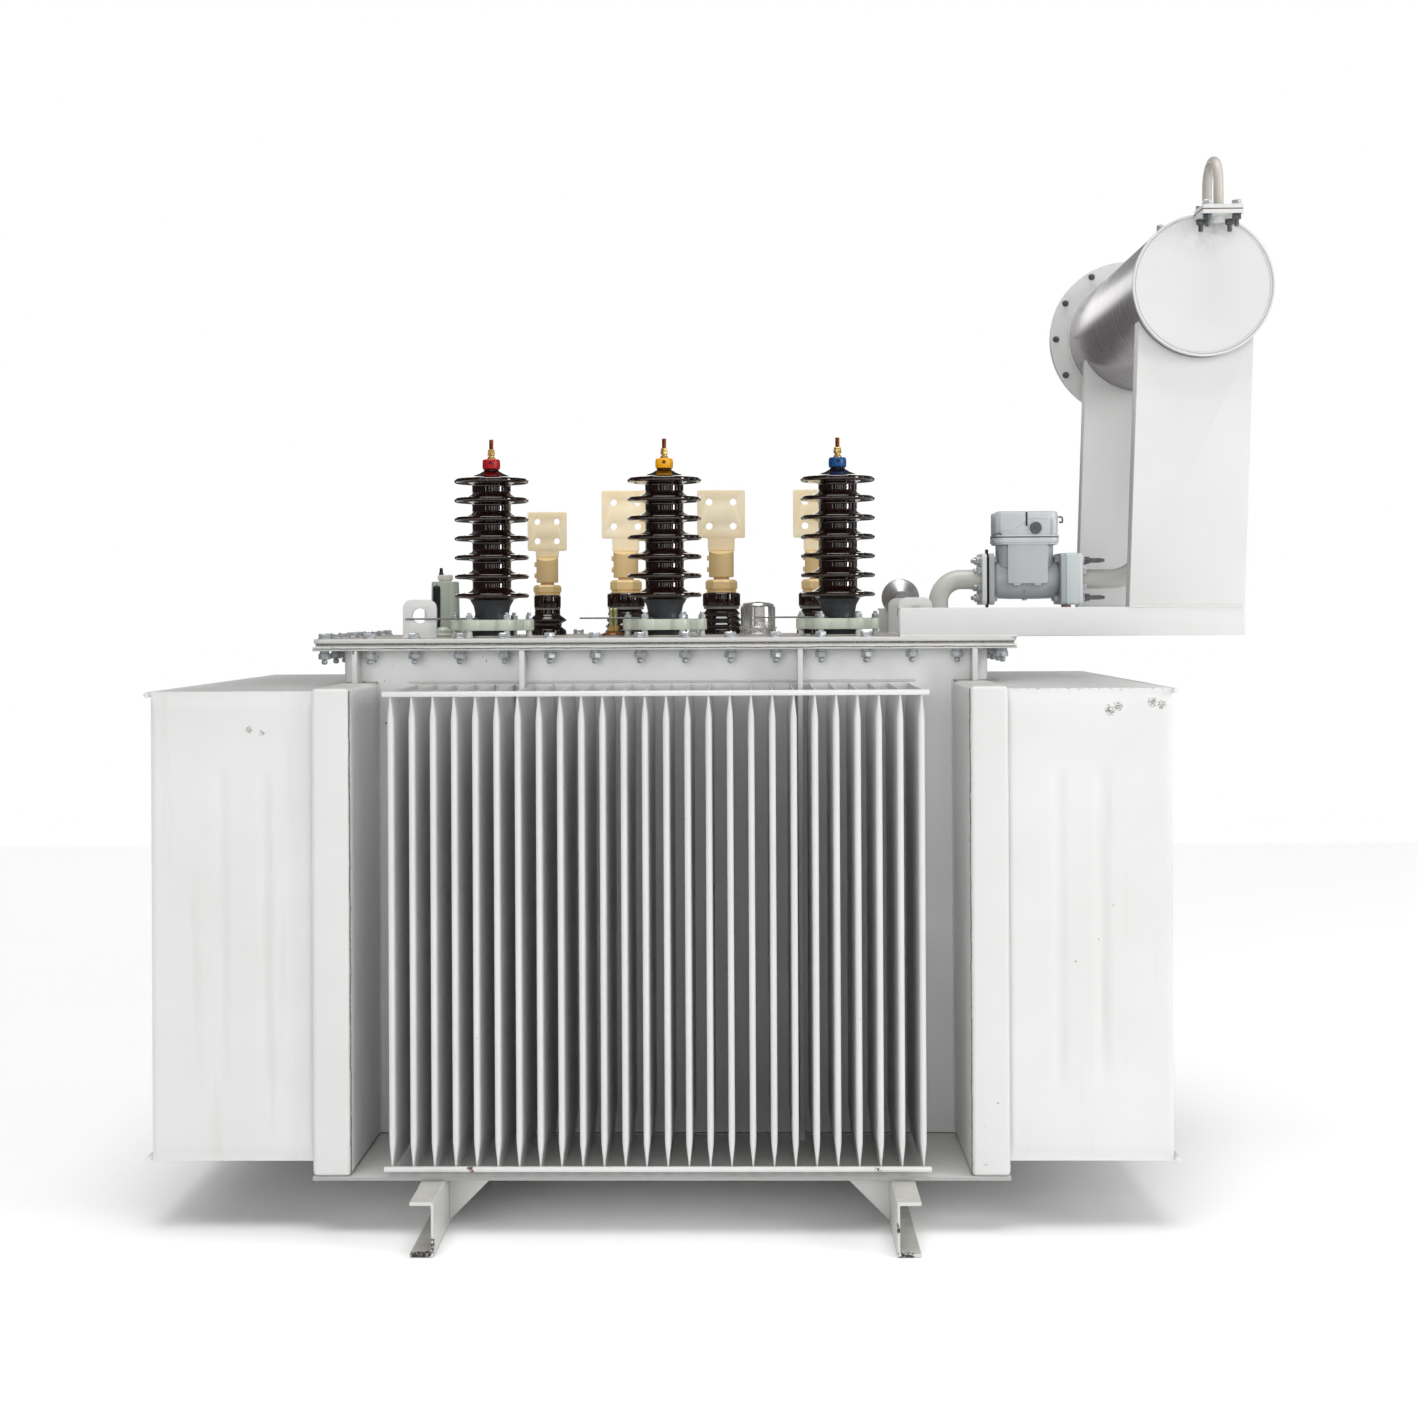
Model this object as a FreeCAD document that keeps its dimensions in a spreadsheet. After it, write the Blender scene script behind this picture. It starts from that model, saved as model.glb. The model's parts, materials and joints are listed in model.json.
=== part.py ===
"""Oil-immersed power transformer: finned tank on skids, bushings, conservator and gas relay.

Frame: +Z up from the ground, X along the tank's long side, -Y towards the high-voltage side.
The origin is on the ground under the middle of the whole transformer's plan outline.
Every length is in millimetres.
"""

import FreeCAD, Part
import math
import os
import re

import Sketcher

V = FreeCAD.Vector
RIGHTWARD = V(1, 0, 0)
BACKWARD = V(0, 1, 0)
UPWARD = V(0, 0, 1)

doc = FreeCAD.newDocument("power_transformer")

# ---------------------------------------------------------------- driving dimensions

SIZES = {
    # tank: plan, heights and shell
    "tank_length": 1478,
    "tank_depth": 752,
    "tank_back_shift": 114,
    "tank_base_z": 121,
    "tank_top_z": 1230,
    "tank_corner_radius": 28,
    # headers: the deep boxes at both ends that feed the end fins
    "header_width": 82,
    "header_depth": 1228,
    "header_top_z": 1157,
    # bottom plate, flange, gasket and cover
    "bottom_plate": 8,
    "flange_reach": 58,
    "flange_plate": 10,
    "gasket_plate": 7,
    "gasket_inset": 6,
    "cover_plate": 10,
    "cover_corner_cut": 14,
    # cooling fins
    "fin_pitch": 45,
    "fin_middle": 14,
    "fin_end": 4,
    "fin_taper": 68,
    "fin_top_z": 1150,
    "front_fin_count": 26,
    "front_fin_base_z": 133,
    "front_fin_reach": 352,
    "front_fin_shift": -7,
    "end_fin_count": 27,
    "end_fin_base_z": 148,
    "end_fin_reach": 348,
    "fin_bar_radius": 6,
    "fin_bar_overrun": 14,
    # stiffeners under the flange
    "stiffener_plate": 12,
    "fins_left_of_first_stiffener": 6,
    "fins_left_of_second_stiffener": 20,
    "corner_stiffener_inset": 31,
    # skids: outward-facing channels and their gussets
    "skid_height": 113,
    "skid_flange": 50,
    "skid_web": 6,
    "skid_flange_plate": 8,
    "skid_length": 1542,
    "left_skid_x": -458,
    "right_skid_x": 487,
    "gusset_leg": 104,
    "gusset_plate": 8,
    "gusset_y": 547,
    # high-voltage bushings
    "hv_spacing": 412,
    "hv_shift_x": -6.5,
    "hv_line_y": -77,
    "hv_shed_radius": 88,
    "hv_core_radius": 46,
    "hv_shed_pitch": 45.4,
    "hv_shed_count": 7,
    "hv_shed_rim": 9,
    "hv_first_shed": 94,
    "hv_foot_radius": 49,
    "hv_foot_height": 88,
    "hv_collar_radius": 52,
    "hv_shoulder": 15,
    "hv_neck_radius": 15.5,
    "hv_neck_height": 9,
    "hv_cap_radius": 21.5,
    "hv_cap_height": 24,
    "hv_clamp_radius": 88,
    "hv_clamp_ear": 13,
    "hv_clamp_bore": 54,
    "hv_clamp_plate": 26,
    "hv_clamp_base": 16,
    "hv_stud_radius": 6,
    "hv_stud_height": 48,
    "hv_nut_radius": 9.5,
    "hv_nut_height": 24,
    "horn_radius": 2.5,
    "horn_reach": 177,
    "horn_forward": 50,
    "horn_end": 22,
    # low-voltage bushings
    "lv_line_y": 323,
    "lv_left_x": -122,
    "lv_middle_x": 124,
    "lv_right_x": 371,
    "lv_radius": 48,
    "lv_foot_radius": 55,
    "lv_height": 107,
    "lv_nut_radius": 41,
    "lv_nut_height": 39,
    "lv_stem_radius": 32,
    "lv_stem_height": 70,
    "lv_pad": 123,
    "lv_pad_neck": 69,
    "lv_pad_neck_height": 32,
    "lv_pad_plate": 14,
    "lv_hole_radius": 9,
    "lv_hole_spacing": 62,
    # neutral bushing
    "neutral_x": -325,
    "neutral_radius": 32,
    "neutral_foot_radius": 50,
    "neutral_height": 103,
    "neutral_nut_radius": 36,
    "neutral_nut_height": 30,
    "neutral_stem_radius": 28,
    "neutral_stem_height": 68,
    "neutral_pad": 100,
    "neutral_pad_neck": 58,
    "neutral_pad_neck_height": 16,
    "neutral_pad_plate": 12,
    "neutral_hole_radius": 8,
    "neutral_hole_spacing": 50,
    # lifting lugs
    "lug_x": 585,
    "lug_front_y": -112,
    "lug_rear_y": 213,
    "lug_width": 80,
    "lug_height": 90,
    "lug_plate": 12,
    "lug_hole_radius": 18,
    "lug_hole_z": 52,
    # conservator tube, its ends and its stand
    "conservator_x": 1213,
    "conservator_z": 2040,
    "conservator_radius": 157.5,
    "conservator_wall": 5,
    "conservator_front_y": -343,
    "conservator_length": 903,
    "conservator_end_rim": 1.5,
    "conservator_end_plate": 8,
    "rear_flange_reach": 48.5,
    "rear_flange_plate": 12,
    "beam_start_x": 533,
    "beam_height": 65,
    "beam_flange": 60,
    "beam_plate": 5,
    "front_stand_y": -317,
    "rear_stand_y": 383,
    "leg_foot_x": 1179,
    "leg_width": 259,
    "leg_return": 46,
    "leg_plate": 5,
    "leg_lean": 27,
    "saddle_gap": 0.3,
    # breather pipe and its blanked flange
    "breather_radius": 11,
    "breather_bend": 55,
    "breather_top_z": 2327,
    "breather_rear_y": -287,
    "breather_shift_x": 22,
    "breather_pad": 90,
    "breather_pad_plate": 10,
    "breather_pad_z": 2203,
    # oil pipe, gas relay and valve
    "pipe_radius": 24,
    "pipe_y": 158,
    "pipe_z": 1392,
    "lower_pipe_x": 666,
    "lower_bend": 98,
    "upper_pipe_x": 1179,
    "upper_bend": 122,
    "pipe_flange": 126,
    "pipe_flange_plate": 11,
    "pipe_gasket": 6,
    "pipe_gasket_inset": 3,
    "relay_start_x": 785,
    "relay_length": 189,
    "relay_barrel_radius": 49,
    "relay_flange_plate": 13,
    "relay_box_width": 142,
    "relay_box_depth": 120,
    "relay_box_top_z": 1480,
    "relay_head_width": 165,
    "relay_head_depth": 134,
    "relay_head_height": 80,
    "valve_length": 29,
    "valve_size": 128,
    # small fittings on the cover
    "dome_x": 215,
    "dome_y": -45,
    "dome_radius": 41,
    "dome_height": 82,
    "dome_base_radius": 47,
    "dome_base_height": 8,
    "filler_clamp_gap": 23,
    "filler_y": -60,
    "filler_radius": 28,
    "filler_height": 67,
    "sensor_x": -559,
    "sensor_y": 120,
    "sensor_radius": 33,
    "sensor_height": 135,
    "sensor_base_radius": 36,
    "sensor_base_height": 18,
    "disc_x": 587,
    "disc_y": 330,
    "disc_z": 1349,
    "disc_radius": 48.5,
    "disc_plate": 10,
    "disc_stem_radius": 18,
    "disc_neck_radius": 13,
    # filling neck and drain plug on the conservator
    "neck_radius": 9,
    "neck_height": 68,
    "neck_y": 120,
    "drain_radius": 7,
    "drain_height": 14,
    "drain_y": 500,
}

sheet = doc.addObject("Spreadsheet::Sheet", "Sizes")
for row, (alias, value) in enumerate(SIZES.items(), start=1):
    sheet.set("A%d" % row, alias)
    sheet.set("B%d" % row, str(value))
    sheet.setAlias("B%d" % row, alias)
doc.recompute()


def size(alias):
    """One driving dimension, read from the sheet."""
    return float(sheet.get(alias))


# ---------------------------------------------------------------- shared positions, as expressions

WORD = re.compile(r"[a-z_]{3,}")

TANK_HALF = "tank_length / 2"
TANK_FRONT = "(tank_back_shift - tank_depth / 2)"
TANK_BACK = "(tank_back_shift + tank_depth / 2)"
HEADER_HALF = "header_depth / 2"
COVER_HALF_X = "(tank_length / 2 + flange_reach)"
COVER_Z = "(tank_top_z + flange_plate + gasket_plate)"
COVER_TOP = "(tank_top_z + flange_plate + gasket_plate + cover_plate)"
PACK_REACH = "(tank_length / 2 + end_fin_reach + 2 * fin_bar_radius)"
REAR_FLANGE_RADIUS = "(conservator_radius + rear_flange_reach)"
CONSERVATOR_REACH = "(conservator_x + %s)" % REAR_FLANGE_RADIUS
TANK_X = "(%s - %s) / 2" % (PACK_REACH, CONSERVATOR_REACH)
RELAY_END = "(relay_start_x + relay_length)"
VALVE_END = "(relay_start_x + relay_length + valve_length)"
BREATHER_X = "(conservator_x + breather_shift_x)"
BREATHER_FRONT_Y = "(breather_rear_y - 2 * breather_bend)"

nodes = []


def bind(item, prop, text):
    """Tie a property to an expression of sheet aliases."""
    item.setExpression(prop, WORD.sub(lambda word: "Sizes." + word.group(0), text))


def at(item, x, y, z):
    """Place an object, with x counted from the middle of the tank."""
    bind(item, "Placement.Base.x", "%s + (%s)" % (TANK_X, x))
    bind(item, "Placement.Base.y", y)
    bind(item, "Placement.Base.z", z)
    return item


def node(item, label):
    """Name an object as one of the transformer's sub-parts."""
    item.Label = label
    nodes.append(item)
    return item


def box(name, length, width, height, x, y, z):
    """A box with its lowest corner at x, y, z."""
    item = doc.addObject("Part::Box", name)
    bind(item, "Length", length)
    bind(item, "Width", width)
    bind(item, "Height", height)
    return at(item, x, y, z)


def cylinder(name, radius, height, x, y, z, along="Z"):
    """A cylinder that starts at x, y, z and runs along one axis."""
    item = doc.addObject("Part::Cylinder", name)
    bind(item, "Radius", radius)
    bind(item, "Height", height)
    item.Placement.Rotation = {
        "X": FreeCAD.Rotation(V(0, 1, 0), 90),
        "Y": FreeCAD.Rotation(V(1, 0, 0), -90),
        "Z": FreeCAD.Rotation(),
    }[along]
    return at(item, x, y, z)


def elbow(name, bend, radius, x, y, z, start, end):
    """A quarter turn of round bar about x, y, z, from one direction round to another."""
    item = doc.addObject("Part::Torus", name)
    bind(item, "Radius1", bend)
    bind(item, "Radius2", radius)
    item.Angle3 = 90
    item.Placement.Rotation = FreeCAD.Rotation(start, end, start.cross(end), "XYZ")
    return at(item, x, y, z)


def fuse(name, *items):
    result = doc.addObject("Part::MultiFuse", name)
    result.Shapes = list(items)
    return result


def cut(name, base, tool):
    result = doc.addObject("Part::Cut", name)
    result.Base = base
    result.Tool = tool
    return result


def together(name, items):
    """Like pieces that do not touch, kept in one sub-part."""
    result = doc.addObject("Part::Compound", name)
    result.Links = list(items)
    return result


# ---------------------------------------------------------------- sketches and bodies


def new_body(name):
    body = doc.addObject("PartDesign::Body", name)
    body.AllowCompound = True
    return body


def sketch_on(body, name, role):
    """A sketch on one of the body's own origin planes."""
    sketch = body.newObject("Sketcher::SketchObject", name)
    plane = next(item for item in body.Origin.OriginFeatures if item.Role == role)
    sketch.AttachmentSupport = [(plane, "")]
    sketch.MapMode = "FlatFace"
    return sketch


def pin_point(sketch, curve, point, coordinates):
    """Fix a sketch point at two expressions; "0" puts it on the sketch's axis."""
    for kind, axis, text in zip(("DistanceX", "DistanceY"), (-2, -1), coordinates):
        if text == "0":
            sketch.addConstraint(Sketcher.Constraint("PointOnObject", curve, point, axis))
            continue
        number = evaluate(text)
        index = sketch.addConstraint(
            Sketcher.Constraint(kind, -1, 1, curve, point, number)
        )
        bind(sketch, "Constraints[%d]" % index, text)


def evaluate(text):
    """The present value of an expression of sheet aliases."""
    return float(sheet.evalExpression(WORD.sub(lambda word: "Sizes." + word.group(0), text)))


def outline(sketch, points):
    """A closed outline of straight edges through points given as pairs of expressions."""
    places = [V(evaluate(x), evaluate(y), 0) for x, y in points]
    count = len(points)
    first = sketch.GeometryCount
    for i in range(count):
        sketch.addGeometry(Part.LineSegment(places[i], places[(i + 1) % count]), False)
    for i in range(count):
        following = first + (i + 1) % count
        sketch.addConstraint(Sketcher.Constraint("Coincident", first + i, 2, following, 1))
    for i in range(count):
        pin_point(sketch, first + i, 1, points[i])


def pad(body, name, role, points, length, reverse=False):
    sketch = sketch_on(body, name + "_outline", role)
    outline(sketch, points)
    feature = body.newObject("PartDesign::Pad", name)
    feature.Profile = sketch
    bind(feature, "Length", length)
    feature.Reversed = reverse
    return feature


def turn(body, name, points):
    """A turned solid about the body's own Z axis, from radius and height pairs."""
    sketch = sketch_on(body, name + "_outline", "XZ_Plane")
    outline(sketch, points)
    feature = body.newObject("PartDesign::Revolution", name)
    feature.Profile = sketch
    feature.ReferenceAxis = (sketch, ["V_Axis"])
    feature.Angle = 360
    return feature


def repeat(body, name, feature, direction, span, count):
    """A row of copies of a feature along one of the body's axes."""
    axis = next(item for item in body.Origin.OriginFeatures if item.Role == direction)
    row = body.newObject("PartDesign::LinearPattern", name)
    row.Originals = [feature]
    row.Direction = (axis, [""])
    bind(row, "Length", span)
    bind(row, "Occurrences", count)
    body.Tip = row
    return row


# ---------------------------------------------------------------- tank


def make_tank():
    """The tank: narrow between the headers, full length above them, filled up to the cover."""
    lower = box(
        "tank_between_headers",
        "tank_length - 2 * header_width",
        "tank_depth",
        "header_top_z - tank_base_z",
        "header_width - %s" % TANK_HALF,
        TANK_FRONT,
        "tank_base_z",
    )
    upper = box(
        "tank_top",
        "tank_length",
        "tank_depth",
        "%s - header_top_z" % COVER_Z,
        "-(%s)" % TANK_HALF,
        TANK_FRONT,
        "header_top_z",
    )
    doc.recompute()
    rounded = doc.addObject("Part::Fillet", "tank_top_rounded")
    rounded.Base = upper
    radius = size("tank_corner_radius")
    uprights = [
        (number, radius, radius)
        for number, edge in enumerate(upper.Shape.Edges, start=1)
        if abs(edge.tangentAt(edge.FirstParameter).z) > 0.99
    ]
    rounded.Edges = uprights
    node(fuse("tank", lower, rounded), "tank_body")

    node(
        box(
            "plate_under_tank",
            "tank_length",
            "header_depth",
            "bottom_plate",
            "-(%s)" % TANK_HALF,
            "-(%s)" % HEADER_HALF,
            "tank_base_z - bottom_plate",
        ),
        "bottom_plate",
    )
    for side, x in (("left", "-(%s)" % TANK_HALF), ("right", "%s - header_width" % TANK_HALF)):
        node(
            box(
                "%s_end_box" % side,
                "header_width",
                "header_depth",
                "header_top_z - tank_base_z",
                x,
                "-(%s)" % HEADER_HALF,
                "tank_base_z",
            ),
            "%s_header" % side,
        )


def frame_plate(name, label, inset, thickness, z):
    """A flat frame around the tank's rim, as wide as the flange less an inset all round."""
    plate = box(
        name + "_plate",
        "tank_length + 2 * (flange_reach - %s)" % inset,
        "tank_depth + 2 * (flange_reach - %s)" % inset,
        thickness,
        "%s - (%s)" % (inset, COVER_HALF_X),
        "%s - flange_reach + %s" % (TANK_FRONT, inset),
        z,
    )
    opening = box(
        name + "_opening",
        "tank_length",
        "tank_depth",
        thickness,
        "-(%s)" % TANK_HALF,
        TANK_FRONT,
        z,
    )
    return node(cut(name, plate, opening), label)


def make_cover():
    """The rim flange, the gasket on it and the bolted cover with cut corners."""
    frame_plate("rim", "tank_flange", "0", "flange_plate", "tank_top_z")
    frame_plate(
        "rim_gasket", "cover_gasket", "gasket_inset", "gasket_plate", "tank_top_z + flange_plate"
    )
    body = new_body("cover")
    half_x = COVER_HALF_X
    half_y = "(tank_depth / 2 + flange_reach)"
    bevel = "cover_corner_cut"
    points = []
    for x_sign, y_sign in ((1, 1), (-1, 1), (-1, -1), (1, -1)):
        near_end = ("%d * %s" % (x_sign, half_x), "%d * (%s - %s)" % (y_sign, half_y, bevel))
        near_side = ("%d * (%s - %s)" % (x_sign, half_x, bevel), "%d * %s" % (y_sign, half_y))
        points += [near_end, near_side] if x_sign == y_sign else [near_side, near_end]
    pad(body, "cover_pad", "XY_Plane", points, "cover_plate")
    at(body, "0", "tank_back_shift", COVER_Z)
    node(body, "cover_plate")


FRONT_ROW_HALF = "(front_fin_count - 1) * fin_pitch / 2"


def between_fins(fins_to_the_left):
    """Where a stiffener starts so that it stands midway between two front fins."""
    middle = "front_fin_shift - %s + (%s - 0.5) * fin_pitch" % (FRONT_ROW_HALF, fins_to_the_left)
    return "%s - stiffener_plate / 2" % middle


def make_stiffeners():
    """Upright plates that carry the flange: two on each long side, one near each corner."""
    plates = []
    heights = {
        "wall": ("tank_base_z", "tank_top_z - tank_base_z"),
        "corner": ("header_top_z", "tank_top_z - header_top_z"),
    }
    places = (
        ("wall", between_fins("fins_left_of_first_stiffener")),
        ("wall", between_fins("fins_left_of_second_stiffener")),
        ("corner", "corner_stiffener_inset - %s" % TANK_HALF),
        ("corner", "%s - corner_stiffener_inset - stiffener_plate" % TANK_HALF),
    )
    for number, (kind, x) in enumerate(places):
        base, height = heights[kind]
        for side, y in (("front", "%s - flange_reach" % TANK_FRONT), ("back", TANK_BACK)):
            plates.append(
                box(
                    "%s_stiffener_%d" % (side, number),
                    "stiffener_plate",
                    "flange_reach",
                    height,
                    x,
                    y,
                    base,
                )
            )
    node(together("stiffeners", plates), "wall_stiffeners")


# ---------------------------------------------------------------- cooling fins


def fin_outline(height):
    """A fin's edge seen end on: thin where it is pressed shut at its ends, thick between."""
    end = "fin_end / 2"
    middle = "fin_middle / 2"
    return [
        ("-%s" % end, "0"),
        (end, "0"),
        (middle, "fin_taper"),
        (middle, "%s - fin_taper" % height),
        (end, height),
        ("-%s" % end, height),
        ("-%s" % middle, "%s - fin_taper" % height),
        ("-%s" % middle, "fin_taper"),
    ]


def fin_pack(name, label, role, axis, reach, count, x, y, reverse):
    """A row of equal fins that stand out of one wall."""
    base = "front_fin_base_z" if axis == "X_Axis" else "end_fin_base_z"
    body = new_body(name)
    fin = pad(body, name + "_fin", role, fin_outline("(fin_top_z - %s)" % base), reach, reverse)
    repeat(body, name + "_row", fin, axis, "(%s - 1) * fin_pitch" % count, count)
    at(body, x, y, base)
    node(body, label)


def make_fins():
    first_x = "front_fin_shift - %s" % FRONT_ROW_HALF
    first_y = "-(end_fin_count - 1) * fin_pitch / 2"
    rear_reach = "(%s - %s)" % (HEADER_HALF, TANK_BACK)
    fin_pack(
        "front_pack", "front_fins", "XZ_Plane", "X_Axis",
        "front_fin_reach", "front_fin_count", first_x, TANK_FRONT, False,
    )
    fin_pack(
        "rear_pack", "rear_fins", "XZ_Plane", "X_Axis",
        rear_reach, "front_fin_count", first_x, TANK_BACK, True,
    )
    fin_pack(
        "left_pack", "left_fins", "YZ_Plane", "Y_Axis",
        "end_fin_reach", "end_fin_count", "-(%s)" % TANK_HALF, first_y, True,
    )
    fin_pack(
        "right_pack", "right_fins", "YZ_Plane", "Y_Axis",
        "end_fin_reach", "end_fin_count", TANK_HALF, first_y, False,
    )


def make_fin_bars():
    """Round bars welded across the fins' outer corners, two to a pack."""
    bars = []
    top = "fin_top_z - fin_bar_radius"
    long_bottom = "front_fin_base_z + fin_bar_radius"
    end_bottom = "end_fin_base_z + fin_bar_radius"
    long_span = "(front_fin_count - 1) * fin_pitch + fin_end + 2 * fin_bar_overrun"
    long_start = "front_fin_shift - (%s) / 2" % long_span
    end_span = "(end_fin_count - 1) * fin_pitch + fin_end + 2 * fin_bar_overrun"
    for level, long_z, end_z in (("top", top, top), ("bottom", long_bottom, end_bottom)):
        for side, y in (
            ("front", "%s - front_fin_reach - fin_bar_radius" % TANK_FRONT),
            ("rear", "%s + fin_bar_radius" % HEADER_HALF),
        ):
            name = "%s_%s_bar" % (side, level)
            bars.append(cylinder(name, "fin_bar_radius", long_span, long_start, y, long_z, "X"))
        for side, x in (
            ("left", "-(%s + end_fin_reach + fin_bar_radius)" % TANK_HALF),
            ("right", "%s + end_fin_reach + fin_bar_radius" % TANK_HALF),
        ):
            name = "%s_%s_bar" % (side, level)
            start = "-(%s) / 2" % end_span
            bars.append(cylinder(name, "fin_bar_radius", end_span, x, start, end_z, "Y"))
    node(together("bars", bars), "fin_bars")


# ---------------------------------------------------------------- skids


def make_skids():
    """Two channels under the tank, webs inward, with triangular gussets at their inner sides."""
    for side, out, web_x in (("left", -1, "left_skid_x"), ("right", 1, "right_skid_x")):
        body = new_body("%s_channel" % side)
        web = "%d * skid_web" % out
        flange = "%d * skid_flange" % out
        points = [
            ("0", "0"),
            (flange, "0"),
            (flange, "skid_flange_plate"),
            (web, "skid_flange_plate"),
            (web, "skid_height - skid_flange_plate"),
            (flange, "skid_height - skid_flange_plate"),
            (flange, "skid_height"),
            ("0", "skid_height"),
        ]
        pad(body, "%s_channel_pad" % side, "XZ_Plane", points, "skid_length", True)
        at(body, web_x, "-skid_length / 2", "0")
        node(body, "%s_skid" % side)

    gussets = []
    for side, inward, web_x in (("left", 1, "left_skid_x"), ("right", -1, "right_skid_x")):
        for end, y in (("front", "-gusset_y"), ("rear", "gusset_y - gusset_plate")):
            body = new_body("%s_%s_gusset" % (side, end))
            reach = "%d * gusset_leg" % inward
            points = [("0", "0"), (reach, "0"), ("0", "-gusset_leg")]
            pad(body, "%s_%s_gusset_pad" % (side, end), "XZ_Plane", points, "gusset_plate", True)
            gussets.append(at(body, web_x, y, "skid_height"))
    node(together("gussets", gussets), "skid_gussets")


# ---------------------------------------------------------------- high-voltage bushings

HV_SHEDS_Z = "hv_first_shed"
HV_HEAD_Z = "(hv_first_shed + (hv_shed_count - 1) * hv_shed_pitch + hv_shed_rim)"
HV_CAP_Z = "(%s + hv_shoulder + hv_neck_height)" % HV_HEAD_Z


def hv_places():
    for number, step in enumerate((-1, 0, 1), start=1):
        yield number, "hv_shift_x + %d * hv_spacing" % step


def hv_porcelain(number, x):
    """Glazed porcelain: a core with a row of sheds and a conical head."""
    body = new_body("hv_porcelain_%d" % number)
    turn(
        body,
        "hv_core_%d" % number,
        [
            ("0", "hv_foot_height"),
            ("hv_core_radius", "hv_foot_height"),
            ("hv_core_radius", HV_HEAD_Z),
            ("hv_neck_radius", "%s + hv_shoulder" % HV_HEAD_Z),
            ("hv_neck_radius", HV_CAP_Z),
            ("0", HV_CAP_Z),
        ],
    )
    shed = turn(
        body,
        "hv_shed_%d" % number,
        [
            ("0", HV_SHEDS_Z),
            ("hv_core_radius", "%s - hv_shed_rim / 2" % HV_SHEDS_Z),
            ("hv_shed_radius", HV_SHEDS_Z),
            ("hv_shed_radius", "%s + hv_shed_rim" % HV_SHEDS_Z),
            ("hv_core_radius", "%s + 2 * hv_shed_rim" % HV_SHEDS_Z),
            ("0", "%s + 2 * hv_shed_rim" % HV_SHEDS_Z),
        ],
    )
    span = "(hv_shed_count - 1) * hv_shed_pitch"
    repeat(body, "hv_sheds_%d" % number, shed, "Z_Axis", span, "hv_shed_count")
    return at(body, x, "hv_line_y", COVER_TOP)


def make_hv_bushings():
    porcelains = []
    feet = []
    clamps = []
    terminals = []
    horns = []
    for number, x in hv_places():
        porcelains.append(hv_porcelain(number, x))

        foot = new_body("hv_foot_%d" % number)
        turn(
            foot,
            "hv_foot_turned_%d" % number,
            [
                ("0", "0"),
                ("hv_collar_radius", "0"),
                ("hv_collar_radius", "hv_clamp_base"),
                ("hv_foot_radius", "hv_clamp_base + hv_clamp_plate"),
                ("hv_foot_radius", "hv_foot_height"),
                ("0", "hv_foot_height"),
            ],
        )
        feet.append(at(foot, x, "hv_line_y", COVER_TOP))
        clamps.append(hv_clamp(number, x))

        cap_z = "%s + %s" % (COVER_TOP, HV_CAP_Z)
        cap = cylinder(
            "hv_cap_body_%d" % number, "hv_cap_radius", "hv_cap_height", x, "hv_line_y", cap_z
        )
        node(cap, "hv_cap_%d" % number)

        nut_z = "%s + hv_cap_height" % cap_z
        nut = cylinder(
            "hv_nut_%d" % number, "hv_nut_radius", "hv_nut_height", x, "hv_line_y", nut_z
        )
        stud = cylinder(
            "hv_stud_%d" % number, "hv_stud_radius", "hv_stud_height", x, "hv_line_y", nut_z
        )
        terminals.append(fuse("hv_terminal_%d" % number, nut, stud))

        horn_z = "%s + hv_clamp_base + hv_clamp_plate + horn_radius" % COVER_TOP
        horns.append(
            cylinder(
                "hv_horn_%d" % number,
                "horn_radius",
                "horn_reach",
                "%s - horn_end - horn_reach" % x,
                "hv_line_y - horn_forward",
                horn_z,
                "X",
            )
        )
    node(together("porcelains", porcelains), "hv_bushings")
    node(together("feet", feet), "hv_bushing_feet")
    node(together("clamps", clamps), "hv_clamps")
    node(together("terminals", terminals), "hv_terminals")
    node(together("horns", horns), "arcing_rods")


def hv_clamp(number, x):
    """A ring with six ears, held down by six studs that stand on the cover."""
    ring_z = "%s + hv_clamp_base" % COVER_TOP
    ring = cylinder(
        "hv_ring_%d" % number,
        "hv_clamp_radius - hv_clamp_ear / 2",
        "hv_clamp_plate",
        x,
        "hv_line_y",
        ring_z,
    )
    pieces = [ring]
    for stud in range(6):
        angle = math.radians(60 * stud)
        ear_x = "%s + hv_clamp_radius * %.6f" % (x, math.cos(angle))
        ear_y = "hv_line_y + hv_clamp_radius * %.6f" % math.sin(angle)
        tag = "%d_%d" % (number, stud)
        pieces.append(
            cylinder("hv_ear_" + tag, "hv_clamp_ear", "hv_clamp_plate", ear_x, ear_y, ring_z)
        )
        pieces.append(
            cylinder("hv_post_" + tag, "hv_stud_radius", "hv_clamp_base", ear_x, ear_y, COVER_TOP)
        )
    solid = fuse("hv_clamp_solid_%d" % number, *pieces)
    bore = cylinder(
        "hv_clamp_hole_%d" % number, "hv_clamp_bore", "hv_clamp_plate", x, "hv_line_y", ring_z
    )
    return cut("hv_clamp_%d" % number, solid, bore)


# ---------------------------------------------------------------- low-voltage bushings


def lv_porcelain(name, x, radius, foot, height):
    """A short glazed porcelain on a spreading foot."""
    body = new_body(name)
    turn(
        body,
        name + "_turned",
        [
            ("0", "0"),
            (foot, "0"),
            (foot, "%s / 5" % height),
            (radius, "%s / 2" % height),
            (radius, height),
            ("0", height),
        ],
    )
    return at(body, x, "lv_line_y", COVER_TOP)


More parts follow.
